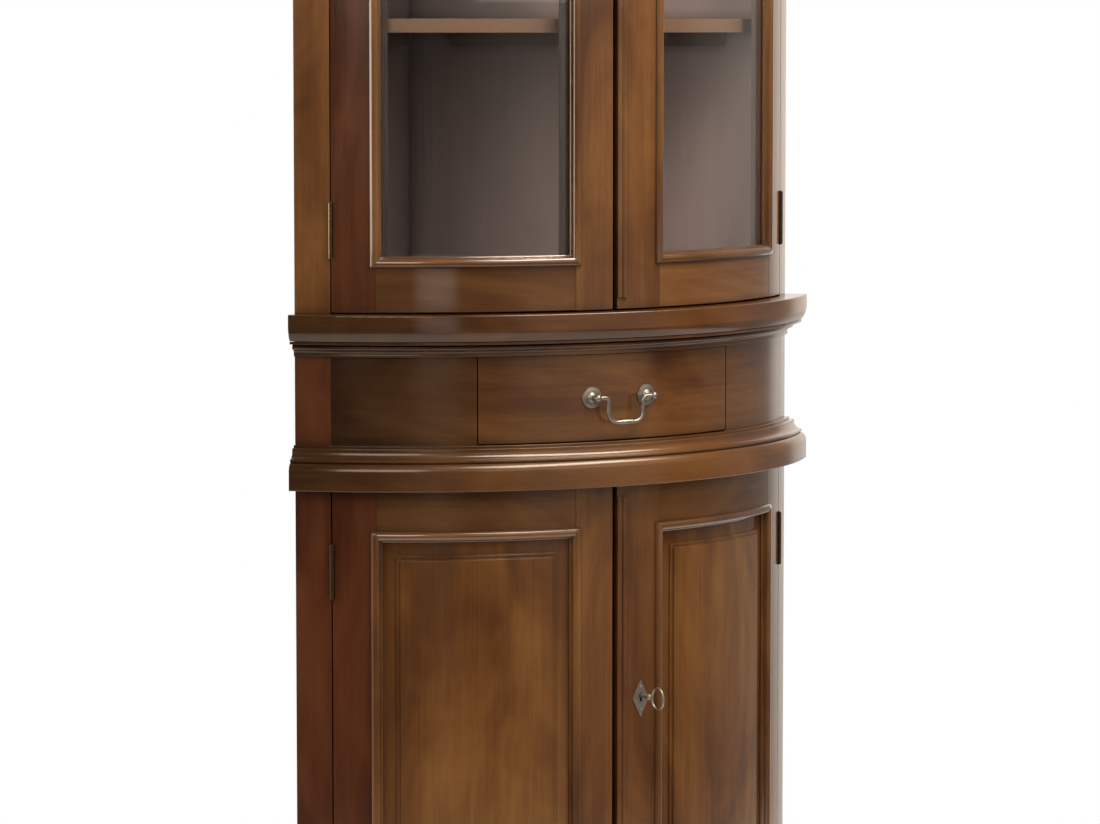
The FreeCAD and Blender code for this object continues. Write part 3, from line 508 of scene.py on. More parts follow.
def shader(tree, kind, inputs=None, **settings):
    """Shader node with its inputs linked or set."""
    item = tree.nodes.new("ShaderNode" + kind)
    for word, value in settings.items():
        setattr(item, word, value)
    for key, value in (inputs or {}).items():
        if isinstance(value, bpy.types.NodeSocket):
            tree.links.new(value, item.inputs[key])
        else:
            item.inputs[key].default_value = value
    return item


def new_material(name):
    """Empty material with its output node."""
    material = bpy.data.materials.new(name)
    material.use_nodes = True
    tree = material.node_tree
    tree.nodes.clear()
    return material, tree, shader(tree, "OutputMaterial")


def surface(tree, output, inputs):
    """Principled surface joined to a material's output."""
    skin = shader(tree, "BsdfPrincipled", inputs)
    tree.links.new(skin.outputs[0], output.inputs["Surface"])


def worked(tree, operation, *values):
    """Result of a Math node on values and sockets."""
    return shader(tree, "Math", dict(enumerate(values)), operation=operation).outputs[0]


def object_spot(tree):
    return shader(tree, "TexCoord").outputs["Object"]


def parts_of(tree, vector):
    return shader(tree, "SeparateXYZ", {0: vector}).outputs


def bow_vector(tree):
    """Arc length, distance from the bow's centre and height, from Object coordinates."""
    spot = parts_of(tree, object_spot(tree))
    radius = sizes().bow_radius
    back = worked(tree, "SUBTRACT", FRONT_Y + radius, spot["Y"])
    arc = worked(tree, "MULTIPLY", worked(tree, "ARCTAN2", spot["X"], back), radius)
    plan = shader(tree, "CombineXYZ", {"X": spot["X"], "Y": back}).outputs[0]
    reach = shader(tree, "VectorMath", {0: plan}, operation="LENGTH").outputs["Value"]
    return shader(tree, "CombineXYZ", {"X": arc, "Y": reach, "Z": spot["Z"]}).outputs[0]


def noise(tree, vector, scale, detail=3.0, roughness=0.5, distortion=0.0):
    inputs = {"Vector": vector, "Scale": scale, "Detail": detail}
    inputs |= {"Roughness": roughness, "Distortion": distortion}
    return shader(tree, "TexNoise", inputs).outputs["Fac"]


def remap(tree, value, low, high, to_low, to_high):
    inputs = {"Value": value, "From Min": low, "From Max": high, "To Min": to_low, "To Max": to_high}
    return shader(tree, "MapRange", inputs).outputs["Result"]


def ramp(tree, value, stops):
    """Colour ramp through (position, colour) stops."""
    item = shader(tree, "ValToRGB", {"Fac": value})
    item.color_ramp.interpolation = "B_SPLINE"
    elements = item.color_ramp.elements
    while len(elements) < len(stops):
        elements.new(0.5)
    for element, (position, colour) in zip(elements, stops):
        element.position = position
        element.color = (*colour, 1)
    return item.outputs["Color"]


def weighed(tree, value, weight, rest):
    """A share of one value added to the rest."""
    return worked(tree, "MULTIPLY_ADD", value, weight, rest)


def mixed(tree, first, second, factor, blend="MIX"):
    item = shader(tree, "MixRGB", {"Fac": factor, "Color1": first, "Color2": second}, blend_type=blend)
    return item.outputs["Color"]


def shaded(tree, colour, value, stops):
    """Colour multiplied by a ramp."""
    return mixed(tree, colour, ramp(tree, value, stops), 1, "MULTIPLY")


def corner_share(tree, distance):
    """One in the open, and less in corners narrower than a distance."""
    return shader(tree, "AmbientOcclusion", {"Distance": distance}, samples=6).outputs["AO"]


def bumped(tree, height, strength, distance, under=None, invert=False):
    """Normal with a relief, on top of another one."""
    inputs = {"Height": height, "Strength": strength, "Distance": distance}
    if under is not None:
        inputs["Normal"] = under
    return shader(tree, "Bump", inputs, invert=invert).outputs[0]


WHITE = (1, 1, 1)
# Colour of the painted shade in corners and recesses.
RECESS_SHADE = (0.22, 0.17, 0.15)
POLISH_TINT = (1, 0.9, 0.78, 1)
GRAIN_AXES = {"upright": 2, "along": 0}


def grain(tree, vector, axis, stretch, seed):
    """Coordinates drawn out along the grain."""
    scale = [1.0, 1.0, 1.0]
    scale[axis] = stretch
    return shader(tree, "Mapping", {"Vector": vector, "Location": seed, "Scale": scale}).outputs[0]


def wood(name, way, shades, seed, roughness, coat, left_end_shade=1.0, wall_corner_shade=1.0):
    """Grained wood: soft clouds, figure, fine streaks, pores, painted shade in corners and a clear polish.

    Painted shade: the colour falls to the left-end share at the left end of the front, and to the corner
    share towards the corner where the walls meet.
    """
    material, tree, output = new_material(name)
    axis = GRAIN_AXES[way]
    vector = bow_vector(tree)
    clouds = noise(tree, grain(tree, vector, axis, 0.38, seed), 8, 3, 0.55, 1.1)
    figure = noise(tree, grain(tree, vector, axis, 0.07, seed), 24, 3, 0.55, 0.8)
    streaks = noise(tree, grain(tree, vector, axis, 0.025, seed), finish().grain_count, 4, 0.6, 0.2)
    pores = noise(tree, grain(tree, vector, axis, 0.05, seed), 6 * finish().grain_count, 2, 0.6)
    share = weighed(tree, clouds, 1.0, weighed(tree, figure, 0.42, weighed(tree, streaks, 0.22, -0.32)))
    colour = ramp(tree, share, list(zip((0.25, 0.5, 0.75), shades)))
    colour = mixed(tree, colour, (*shades[0], 1), remap(tree, pores, 0.57, 0.72, 0, 0.3))
    # Painted shade: the colour darkens towards the left end of the front.
    if left_end_shade < 1:
        along = remap(tree, parts_of(tree, vector)["X"], -0.5, 0.1, 0, 1)
        colour = shaded(tree, colour, along, [(0.25, (left_end_shade,) * 3), (0.75, WHITE)])
    # Painted shade: the colour darkens towards the corner where the walls meet.
    if wall_corner_shade < 1:
        across = worked(tree, "ABSOLUTE", parts_of(tree, object_spot(tree))["X"])
        across = remap(tree, across, 0, 0.36, 0, 1)
        colour = shaded(tree, colour, across, [(0.05, (wall_corner_shade,) * 3), (0.95, WHITE)])
    # Painted shade: darker in corners and recesses, from ambient occlusion.
    colour = shaded(tree, colour, corner_share(tree, 15 * MM), [(0.25, RECESS_SHADE), (0.85, WHITE)])
    relief = bumped(tree, streaks, 0.1, 0.4 * MM)
    relief = bumped(tree, pores, 0.15, 0.3 * MM, relief, invert=True)
    surface(tree, output, {
        "Base Color": colour,
        "Roughness": remap(tree, clouds, 0.3, 0.7, roughness * 0.82, roughness * 1.2),
        "Normal": relief,
        "Specular Tint": POLISH_TINT,
        "Coat Weight": coat,
        "Coat Roughness": 0.06,
    })
    return material


def mahogany(name, way, seed, tint=WHITE, gloss=0.25, left_end_shade=1.0, dull=1.0):
    """Stained and polished mahogany in one of its tints, duller where it is rubbed less."""
    shades = (finish().mahogany_dark, finish().mahogany_mid, finish().mahogany_light)
    tinted = [tuple(value * share for value, share in zip(shade, tint)) for shade in shades]
    return wood(name, way, tinted, seed, dull * finish().wood_roughness, gloss, left_end_shade)


def plain_wood(name, way, colour, seed, wall_corner_shade=1.0):
    """Satin wood of the inside and of the drawer box."""
    shades = [tuple(value * share for value in colour) for share in (0.87, 1.0, 1.11)]
    return wood(name, way, shades, seed, 0.42, 0.05, wall_corner_shade=wall_corner_shade)


def metal(name, colour, roughness, patina):
    """Aged metal: worn bright on its high places and dark in its corners."""
    material, tree, output = new_material(name)
    spot = object_spot(tree)
    blotches = noise(tree, spot, 160, 4, 0.6)
    scratches = noise(tree, spot, 900, 3, 0.7)
    dull = tuple(value * patina for value in colour)
    worn = worked(tree, "MULTIPLY", corner_share(tree, 4 * MM), remap(tree, blotches, 0.3, 0.7, 0.55, 1))
    skin = ramp(tree, worn, [(0.15, dull), (0.75, tuple(colour))])
    surface(tree, output, {
        "Base Color": skin,
        "Metallic": 1.0,
        "Roughness": remap(tree, scratches, 0.3, 0.7, roughness * 0.8, roughness * 1.25),
        "Normal": bumped(tree, scratches, 0.15, 0.2 * MM),
    })
    return material


def bent_glass(name):
    """Clear pane with faint waves that lets the lamps through."""
    material, tree, output = new_material(name)
    tint = (*finish().glass_tint, 1)
    waves = bumped(tree, noise(tree, object_spot(tree), 7, 2), 0.015, 2 * MM)
    pane = shader(tree, "BsdfPrincipled", {
        "Base Color": tint, "Roughness": 0.0, "IOR": 1.5, "Transmission Weight": 1.0, "Normal": waves,
    })
    clear = shader(tree, "BsdfTransparent", {"Color": tint})
    lamps = shader(tree, "LightPath").outputs["Is Shadow Ray"]
    both = shader(tree, "MixShader", {0: lamps, 1: pane.outputs[0], 2: clear.outputs[0]})
    tree.links.new(both.outputs[0], output.inputs["Surface"])
    return material


RED_TINT = (0.52, 0.36, 0.4)
CARCASS_TINT = (0.86, 0.66, 0.72)
GOLD_TINT = (1.0, 1.0, 0.86)
# Lighter, bluer tint for the upper right door's rails: painted sheen.
SHEEN_TINT = (1.04, 1.06, 1.2)
MAKERS = {
    "upright_mahogany": lambda name: mahogany(name, "upright", (3.1, 0.7, 1.9)),
    "red_mahogany": lambda name: mahogany(name, "upright", (7.3, 2.2, 0.4), RED_TINT),
    # The cross, waist and frieze woods carry painted shade towards the left end of the front.
    "cross_mahogany": lambda name: mahogany(name, "along", (1.7, 5.2, 2.6), left_end_shade=0.48),
    "gold_cross": lambda name: mahogany(name, "along", (4.4, 7.9, 0.8), SHEEN_TINT),
    "waist_mahogany": lambda name: mahogany(name, "along", (8.6, 2.7, 6.3), left_end_shade=0.32),
    "frieze_mahogany": lambda name: mahogany(name, "along", (8.6, 2.7, 6.3), left_end_shade=0.12),
    "bead_upright": lambda name: mahogany(name, "upright", (3.1, 0.7, 1.9), GOLD_TINT, gloss=1.0),
    "bead_cross": lambda name: mahogany(name, "along", (1.7, 5.2, 2.6), GOLD_TINT, gloss=1.0),
    "panel_mahogany": lambda name: mahogany(name, "upright", (9.4, 1.1, 4.8), GOLD_TINT),
    "carcass_mahogany": lambda name: mahogany(
        name, "upright", (5.5, 3.3, 8.2), CARCASS_TINT, gloss=0.0, dull=2.4
    ),
    "shelf_wood": lambda name: plain_wood(name, "along", finish().inside_wood, (2.4, 8.8, 6.1)),
    # The beads behind the panes and panels are darkened as painted shade.
    "back_bead_wood": lambda name: plain_wood(name, "upright", finish().back_bead_tone_and_shade, (1.2, 9.7, 3.4)),
    # The inside walls carry painted shade towards the corner where the walls meet.
    "inside_upright": lambda name: plain_wood(name, "upright", finish().inside_wall, (6.9, 0.3, 5.4), 0.42),
    "drawer_box_wood": lambda name: plain_wood(name, "along", finish().drawer_wood, (4.2, 6.5, 3.7)),
    "aged_bronze": lambda name: metal(name, finish().bronze, 0.42, 0.35),
    "aged_brass": lambda name: metal(name, finish().brass, 0.24, 0.3),
    "aged_steel": lambda name: metal(name, finish().steel, 0.36, 0.5),
    "bent_glass": bent_glass,
}


def made_of(name):
    """Material by its name, made the first time that it is asked for."""
    return bpy.data.materials.get(name) or MAKERS[name](name)


# Pieces


def redden_left_end(piece):
    """Give the uprights at the left end of the front the second, redder material."""
    for face in piece.data.polygons:
        face.material_index = int(face.center.x < -LEFT_END)


def against_wall(face):
    """Whether a face lies against one of the two walls."""
    return face.normal.y > WALLWARD and face.normal.x * face.center.x > 0


class CABINET_OT_carcass(bpy.types.Operator):
    """Softens and stains the boards of the carcass"""

    bl_idname = "cabinet.carcass"
    bl_label = "Carcass boards"

    def execute(self, context):
        stiles = eased_copy("base_stiles", sizes().board_ease)
        redden_left_end(stiles)
        round_shading(place(stiles, ["base_stiles"], made_of("upright_mahogany"), made_of("red_mahogany")))
        boards = {
            "upright_mahogany": ("hutch_stiles",),
            "waist_mahogany": ("drawer_deck_board", "waist_top_board"),
            "shelf_wood": (
                "base_floor_board", "cupboard_shelf", "hutch_floor_board", "hutch_shelves", "hutch_top_board",
                "shelf_cleats",
            ),
        }
        for material, nodes in boards.items():
            for node in nodes:
                board = eased_copy(node, sizes().board_ease)
                for face in board.data.polygons:
                    face.material_index = int(against_wall(face))
                round_shading(place(board, [node], made_of(material), made_of("carcass_mahogany")))
        return {"FINISHED"}


class CABINET_OT_side_boards(bpy.types.Operator):
    """Softens the boards along the two walls, stained outside and plain inside"""

    bl_idname = "cabinet.side_boards"
    bl_label = "Side boards"

    def execute(self, context):
        top = max(corner[2] for corner in NODES["hutch_top_board"].bound_box)
        for storey in ("base", "hutch"):
            for side, way in zip(SIDES, (-1, 1)):
                node = f"{storey}_side_{side}"
                piece = eased_copy(node, sizes().board_ease)
                with editing(piece):
                    bpy.ops.mesh.bisect(plane_co=(0, 0, top), plane_no=Z_AXIS)
                inward = Vector((-way, -1, 0)).normalized()
                for face in piece.data.polygons:
                    face.material_index = int(face.normal.dot(inward) > FACING and face.center.z < top)
                place(piece, [node], made_of("carcass_mahogany"), made_of("inside_upright"))
        return {"FINISHED"}


class CABINET_OT_door_frames(bpy.types.Operator):
    """Softens and stains the stiles and rails of the four doors"""

    bl_idname = "cabinet.door_frames"
    bl_label = "Door frames"

    def execute(self, context):
        for door in DOORS:
            stiles = eased_copy(f"{door}_stiles", sizes().board_ease)
            redden_left_end(stiles)
            place(stiles, [f"{door}_stiles"], made_of("upright_mahogany"), made_of("red_mahogany"))
            round_shading(stiles)
            rails = eased_copy(f"{door}_rails", sizes().board_ease)
            # The upper right door's rails take the lighter, bluer wood: painted sheen.
            cross = "gold_cross" if door == "upper_right_door" else "cross_mahogany"
            round_shading(place(rails, [f"{door}_rails"], made_of(cross)))
        return {"FINISHED"}


def bead_section():
    """Half-round and steep inner cove of a door bead: distance from its outer edge and depth."""
    size = sizes()
    half = size.bead_round / 2
    round_steps, cove_steps = 16, 8
    quirk_proud, foot, arris = 0.6 * MM, 0.7 * size.bead_tongue, 0.4 * MM
    points = []
    for step in range(round_steps):
        angle = math.pi * step / round_steps
        points.append((half - half * math.cos(angle), -size.bead_proud * math.sin(angle)))
    sweep = size.bead_width - 0.5 * MM - size.bead_round
    for step in range(cove_steps + 1):
        angle = math.pi / 2 * step / cove_steps
        across = size.bead_round + sweep * (1 - math.cos(angle))
        points.append((across, (foot + quirk_proud) * math.sin(angle) - quirk_proud))
    points += [
        (size.bead_width, foot + arris), (size.bead_width, size.bead_tongue),
        (size.bead_lip, size.bead_tongue), (size.bead_lip, 0),
    ]
    return points


def back_bead_section(front):
    """Chamfered strip behind a pane or panel, from the depth of its front to the door's back."""
    size = sizes()
    wide, slope, back = size.back_bead, size.back_slope, size.door_thick
    return [(0, front), (wide - slope, front), (wide, front + slope), (wide, back), (0, back)]


def mitred_frame(name, section, low, high, share=1.0):
    """Four mitred lengths of a section round a flat opening, the cross ones a share as wide."""
    corner = [(low.x + inward, depth, low.z + share * inward) for inward, depth in section]
    piece = draw_chain(name, corner)
    middle = (low + high) / 2
    with editing(piece, "FACE"):
        for flip in ((-1, 1, 1), (1, 1, -1)) * 2:
            draw_out((0, 0, 0))
            bpy.ops.transform.resize(value=flip, center_override=middle)
        pick(piece, "FACE", lambda face: len(face.verts) == len(section))
        bpy.ops.mesh.delete(type="ONLY_FACE")
        knit()
    return piece


def grain_by_side(piece, low, high, behind):
    """Give a flat frame's cross lengths the second material, and those behind a depth the third."""
    for face in piece.data.polygons:
        spot = face.center
        from_side = min(spot.x - low.x, high.x - spot.x)
        from_end = min(spot.z - low.z, high.z - spot.z)
        face.material_index = 2 if spot.y > behind else int(from_end < from_side)


class CABINET_OT_beads(bpy.types.Operator):
    """Models the mitred beads round the panes and panels"""

    bl_idname = "cabinet.beads"
    bl_label = "Door beads"

    def execute(self, context):
        size = sizes()
        lip = Vector((1, 0, 1)) * size.bead_lip
        infill = {"upper": size.glass_thick, "lower": size.panel_thick}
        narrow = (size.bead_width - size.bead_lip) / size.back_bead
        # The third wood, for the beads behind, is darkened as painted shade.
        woods = [made_of(word) for word in ("bead_upright", "bead_cross", "back_bead_wood")]
        for door in DOORS:
            node = f"{door}_bead"
            low, high = flat_box(node, -size.bead_proud, 0)
            front = mitred_frame(f"finished_{node}", bead_section(), low, high)
            behind = size.bead_tongue + infill[door.split("_")[0]]
            back = mitred_frame(f"{node}_back", back_bead_section(behind), low + lip, high - lip, narrow)
            piece = join([front, back])
            grain_by_side(piece, low, high, size.bead_tongue + MM)
            place(bow(piece), [node], *woods)
        return {"FINISHED"}


class CABINET_OT_panels(bpy.types.Operator):
    """Models the raised panels of the lower doors"""

    bl_idname = "cabinet.panels"
    bl_label = "Raised panels"

    def execute(self, context):
        size = sizes()
        slope, hollow, field_margin = 0.9 * MM, 0.3 * MM, 2 * MM
        cover = size.bead_width - size.bead_lip
        steps = (
            (cover + size.panel_margin, 0), (slope, size.panel_raise), (size.panel_step - slope, -hollow),
            (slope, size.panel_raise + hollow), (field_margin, 0),
        )
        for side in SIDES:
            node = f"lower_{side}_door_panel"
            low, high = flat_box(node, size.bead_tongue, size.bead_tongue + size.panel_thick)
            piece = start_cube(f"finished_{node}", low, high)
            with editing(piece, "FACE"):
                pick(piece, "FACE", lambda face: face.normal.y < -FACING)
                for width, rise in steps:
                    bpy.ops.mesh.inset(thickness=width, depth=rise)
            ease(piece, 0.35 * MM)
            place(bow(piece), [node], made_of("panel_mahogany"))
        return {"FINISHED"}


class CABINET_OT_panes(bpy.types.Operator):
    """Models the bent glass of the upper doors"""

    bl_idname = "cabinet.panes"
    bl_label = "Bent panes"

    def execute(self, context):
        size = sizes()
        for side in SIDES:
            node = f"upper_{side}_door_glass"
            low, high = flat_box(node, size.bead_tongue, size.bead_tongue + size.glass_thick)
            piece = ease(start_cube(f"finished_{node}", low, high), 0.4 * MM)
            place(bow(piece), [node], made_of("bent_glass"))
        return {"FINISHED"}


class CABINET_OT_meeting_beads(bpy.types.Operator):
    """Models the beads on the meeting stiles of the right doors"""

    bl_idname = "cabinet.meeting_beads"
    bl_label = "Meeting beads"

    def execute(self, context):
        for storey in STOREYS:
            node = f"{storey}_right_door_meeting_strip"
            proud = sizes().strip_proud
            low, high = flat_box(node, -proud, 0)
            width = (high.x - low.x) / MM
            rise, flat, bead = proud / MM, 2.2, 8.6
            quirk = width - bead
            corners = [
                (0, 0, None), (0, flat - 0.6, "level_end"), (0.6, flat, None), (quirk - 0.5, flat, None),
                (quirk - 0.2, flat - 1.1, None), (quirk, flat - 1.1, "plumb_end"),
                (quirk + 3.6, rise + 0.6, "plumb_start"), (width - 1.2, 0.9, None), (width - 0.6, 0.9, None),
                (width, 0, None),
            ]
            points = [(low.x + spot.x, -spot.y, low.z) for spot in outline(corners)]
            piece = extrude(draw_chain(f"finished_{node}", points), (0, 0, high.z - low.z))
            ease(piece, 0.5 * MM, lambda edge: sharp(edge) and runs_level(edge))
            place(bow(piece), [node], made_of("upright_mahogany"))
        return {"FINISHED"}


# Half the length of a moulding before the walls trim it.
MOULDING_RUN = 0.445


def bent_moulding(name, corners, base):
    """Moulding drawn as (reach, level, bend) corners, run past both walls, bent and trimmed."""
    points = [(-MOULDING_RUN, -spot.x, base + spot.y) for spot in outline(corners)]
    piece = extrude(draw_chain(name, points), (2 * MOULDING_RUN, 0, 0))
    return trim_at_walls(bow(piece))


class CABINET_OT_mouldings(bpy.types.Operator):
    """Models the waist mouldings, the plinth and the cornice"""

    bl_idname = "cabinet.mouldings"
    bl_label = "Mouldings"

    def execute(self, context):
        sections = {
            "lower_waist_moulding": [
                (0, 0, None), (28, 0, "level_end"), (30, 2, None), (30, 24.5, "level_start"),
                (23.4, 35, None), (22, 35.4, None), (22, 36.4, None), (23.4, 36.6, "level_end"),
                (24, 37.2, None), (24, 38.8, "level_start"), (23.4, 39.4, "plumb_start"), (13.4, 49.4, None),
                (13.4, 52, "level_start"), (12.8, 52.6, None), (6.6, 53, None), (6.6, 55.4, "level_start"),
                (6, 56, None), (0, 56, None),
            ],
            "upper_waist_moulding": [
                (0, 0, None), (3.2, 0, "level_end"), (3.8, 0.6, None), (3.8, 2.2, "plumb_end"),
                (8, 8.4, None), (8.8, 8.8, "level_end"), (11.6, 12.2, "level_start"), (8.8, 15.6, None),
                (8.4, 16.2, None), (22.4, 16.6, "level_end"), (23, 17.2, None), (23, 20, None), (0, 20, None),
            ],
            "plinth": [
                (0, 0, None), (11.4, 0, None), (12, 0.6, None), (12, 78, None), (11, 78.8, None),
                (11, 80, "level_start"), (4.8, 91.2, None), (4, 92, None), (0, 92, None),
            ],
            "cornice": [
                (0, 0, None), (7.4, 0, None), (8, 0.6, None), (8, 6, None), (9, 6.6, None),
                (9, 8, "level_start"), (36, 62, None), (41.4, 62, None), (42, 62.6, None),
                (42, 67, "level_end"), (56, 96, None), (56, 111, None), (55, 112, None), (0, 112, None),
            ],
        }
        for node, corners in sections.items():
            piece = bent_moulding(f"finished_{node}", corners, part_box(node)[0].z)
            place(piece, [node], made_of("waist_mahogany"))
        return {"FINISHED"}


class CABINET_OT_waist_front(bpy.types.Operator):
    """Models the bent drawer front and the frieze that it shuts into"""

    bl_idname = "cabinet.waist_front"
    bl_label = "Drawer front and frieze"

    def execute(self, context):
        size = sizes()
        gap = Vector((1, 0, 1)) * size.drawer_gap
        low, high = flat_box("drawer_front", 0, size.drawer_front_thick)
        front = ease(start_cube("finished_drawer_front", low, high), size.drawer_ease)
        place(bow(front), ["drawer_front"], made_of("waist_mahogany"))
        through = Vector((0, size.frieze_thick, 0))
        opening = start_cube("drawer_opening", low - gap - through, high + gap + through)
        low, high = flat_box("drawer_frieze", 0, size.frieze_thick)
        frieze = ease(cut(start_cube("finished_drawer_frieze", low, high), opening), size.board_ease)
        place(bow(frieze), ["drawer_frieze"], made_of("frieze_mahogany"))
        return {"FINISHED"}


class CABINET_OT_drawer_box(bpy.types.Operator):
    """Softens the drawer's box and its runners"""

    bl_idname = "cabinet.drawer_box"
    bl_label = "Drawer box"

    def execute(self, context):
        for node in ("drawer_sides", "drawer_back", "drawer_bottom", "drawer_runners"):
            place(eased_copy(node, sizes().board_ease), [node], made_of("drawer_box_wood"))
        return {"FINISHED"}


# Arc length from the drawer's middle to a post of its pull.
PULL_ARC = 41.5 * MM


class CABINET_OT_pull(bpy.types.Operator):
    """Models the drawer pull: two rosettes with posts and the swan-neck bail"""

    bl_idname = "cabinet.pull"
    bl_label = "Drawer pull"

    def rosette(self, name):
        """Stepped round plate, post and ball, pointing out along -Y."""
        rim = [(0, 0), (14.2, 0), (14.2, 0.7), (13.8, 1.3), (12.9, 1.5), (12.3, 1.4), (12, 1.6)]
        dome = [(10.4, 2), (8.6, 2.4), (7.4, 2.6), (7, 2.4), (6.6, 2.7), (5.8, 3.6), (4.4, 4.2)]
        post = [(3.4, 4.8), (3, 6), (3, 10), (3.6, 10.5), (3.6, 11.2), (3.2, 11.7)]
        ball_radius, ball_reach = 5, 16
        ball = []
        for step in range(3, 13):
            angle = math.pi * step / 12
            ball.append((ball_radius * math.sin(angle), ball_reach - ball_radius * math.cos(angle)))
        points = [(radius * MM, -depth * MM) for radius, depth in rim + dome + post + ball]
        return turn_profile(name, points)

    def bail(self, name, centre):
        """Wire bent from the ball down to a bar that swells in the middle, mirrored."""
        wire, leg, bend, low_bend, drop = 2.8 * MM, 26 * MM, 6 * MM, 13 * MM, 32 * MM
        end = 44 * MM
        bpy.ops.object.select_all(action="DESELECT")
        bpy.ops.mesh.primitive_circle_add(
            vertices=20, radius=wire, fill_type="NGON", location=(end, 0, 0), rotation=(0, math.pi / 2, 0)
        )
        piece = added(name)
        shoulder = Vector((leg + bend, 0, -bend))
        foot = Vector((leg - low_bend, 0, low_bend - drop))
        quarter, steps, growth = math.pi / 2, 8, 0.05
        with editing(piece, "FACE"):
            draw_out((shoulder.x - end, 0, 0))
            bpy.ops.mesh.spin(steps=steps, angle=quarter, center=shoulder, axis=Y_AXIS)
            draw_out((0, 0, foot.z - shoulder.z))
            bpy.ops.mesh.spin(steps=steps, angle=-quarter, center=foot, axis=Y_AXIS)
            for step in range(steps):
                swell = 1 + growth * math.cos(quarter * (step + 0.5) / steps)
                draw_out((-foot.x / steps, 0, 0))
                bpy.ops.transform.resize(value=(1, swell, swell), center_override=(0, 0, -drop))
            bpy.ops.mesh.delete(type="ONLY_FACE")
            knit()
        mirror = piece.modifiers.new("other_half", "MIRROR")
        mirror.merge_threshold = MM / 20
        bpy.ops.object.modifier_apply(modifier=mirror.name)
        piece.location = centre
        return apply_place(piece)

    def execute(self, context):
        level = JOINTS["bail_swing"]["pos_m"][2]
        right = self.rosette("finished_pull_rosettes")
        left = copy_of(right, "left_rosette")
        both = join([swing(right, PULL_ARC, level), swing(left, -PULL_ARC, level)])
        place(both, ["pull_rosettes"], made_of("aged_bronze"))
        bail = self.bail("finished_pull_bail", JOINTS["bail_swing"]["pos_m"])
        place(bail, ["pull_bail"], made_of("aged_bronze"))
        return {"FINISHED"}


def bow_to_middle(piece):
    """Bend a small flat piece at the bow's middle, with its face left at Y zero."""
    piece = bow(piece)
    piece.location.y = -FRONT_Y
    return apply_place(piece)


class CABINET_OT_keys(bpy.types.Operator):
    """Models the keys and the diamond plates that they go through"""

    bl_idname = "cabinet.keys"
    bl_label = "Keys and key plates"

    def key(self, name):
        """Collared shank with an oval bow outside and a bit inside, pointing out along -Y."""
        shank = [
            (0, 19), (2.1, 19), (2.5, 18.4), (2.5, -16.6), (3.1, -17), (3.9, -17.6), (3.9, -18.6),
            (3, -19.2), (3, -19.8), (3.9, -20.4), (3.9, -21.4), (3.2, -22.2), (2.4, -23), (2, -24.4),
            (1.6, -25.6), (0, -25.8),
        ]
        piece = turn_profile(name, [(radius * MM, depth * MM) for radius, depth in shank], 28)
        ring_radius, ring_middle, ring_oval = 12.5 * MM, (0, -36.5 * MM, 0), (1.15, 0.96, 1.1)
        bpy.ops.object.select_all(action="DESELECT")
        bpy.ops.mesh.primitive_torus_add(
            major_segments=48, minor_segments=14, major_radius=ring_radius, minor_radius=sizes().key_wire,
            location=ring_middle, rotation=(0, math.pi / 2, 0),
        )
        ring = added(name + "_ring")
        with editing(ring):
            bpy.ops.transform.resize(value=ring_oval, center_override=ring_middle)
        bit = start_cube(name + "_bit", (-1 * MM, 10.8 * MM, -7 * MM), (1 * MM, 15.8 * MM, -1 * MM))
        ease(bit, 0.25 * MM)
        return join([piece, ring, bit])

    def plate(self, name):
        """Diamond with a bevelled edge, a keyhole and two round-headed pins."""
        thick = sizes().plate_thick
        half_width, half_tall, pin_rise = 13 * MM, 24.35 * MM, 15 * MM
        middle = -sizes().plate_drop
        points = [
            (half_width, 0, middle), (0, 0, middle + half_tall),
            (-half_width, 0, middle), (0, 0, middle - half_tall),
        ]
        plate = extrude(draw_chain(name, points), (0, -thick, 0))
        ease(plate, 0.5 * MM, lambda edge: sharp(edge) and all(vert.co.y < -thick / 2 for vert in edge.verts))
        round_half, slot_half, foot, inside, outside = 3.1 * MM, 1.7 * MM, -6.2 * MM, MM, -3 * MM
        hole = start_cylinder(name + "_hole", round_half, (0, inside, 0), (0, outside, 0))
        end = start_cylinder(name + "_end", slot_half, (0, inside, foot), (0, outside, foot))
        slot = start_cube(name + "_slot", (-slot_half, outside, foot), (slot_half, inside, 0))
        for cutter in (hole, end, slot):
            cut(plate, cutter)
        head = [(0, 0), (1.8, 0), (1.8, 0.2), (1.6, 0.6), (1.1, 0.95), (0.5, 1.12), (0, 1.16)]
        head = [(radius * MM, -rise * MM - 0.9 * thick) for radius, rise in head]
        pins = []
        for side in (-1, 1):
            pin = turn_profile(f"{name}_pin{side}", head, 18)
            pin.location.z = middle + side * pin_rise
            pins.append(apply_place(pin))
        return bow_to_middle(join([plate, *pins]))

    def execute(self, context):
        key = self.key("finished_upper_key")
        plate = self.plate("finished_upper_escutcheon")
        pairs = {"upper": (key, plate)}
        pairs["lower"] = (copy_of(key, "finished_lower_key"), copy_of(plate, "finished_lower_escutcheon"))
        for storey, pieces in pairs.items():
            x, y, level = JOINTS[f"{storey}_key_turn"]["pos_m"]
            for piece, word in zip(pieces, ("key", "escutcheon")):
                place(swing(piece, arc_of(x, 0), level), [f"{storey}_{word}"], made_of("aged_bronze"))
        return {"FINISHED"}


class CABINET_OT_hinges(bpy.types.Operator):
    """Softens the hinges and gives them their aged brass"""

    bl_idname = "cabinet.hinges"
    bl_label = "Hinges"

    def execute(self, context):
        nodes = ["hinge_fixed_leaves", "hinge_pins"] + [f"{door}_hinge_leaves" for door in DOORS]
        for node in nodes:
            place(eased_copy(node, sizes().metal_ease, 6 * MM), [node], made_of("aged_brass"))
        return {"FINISHED"}


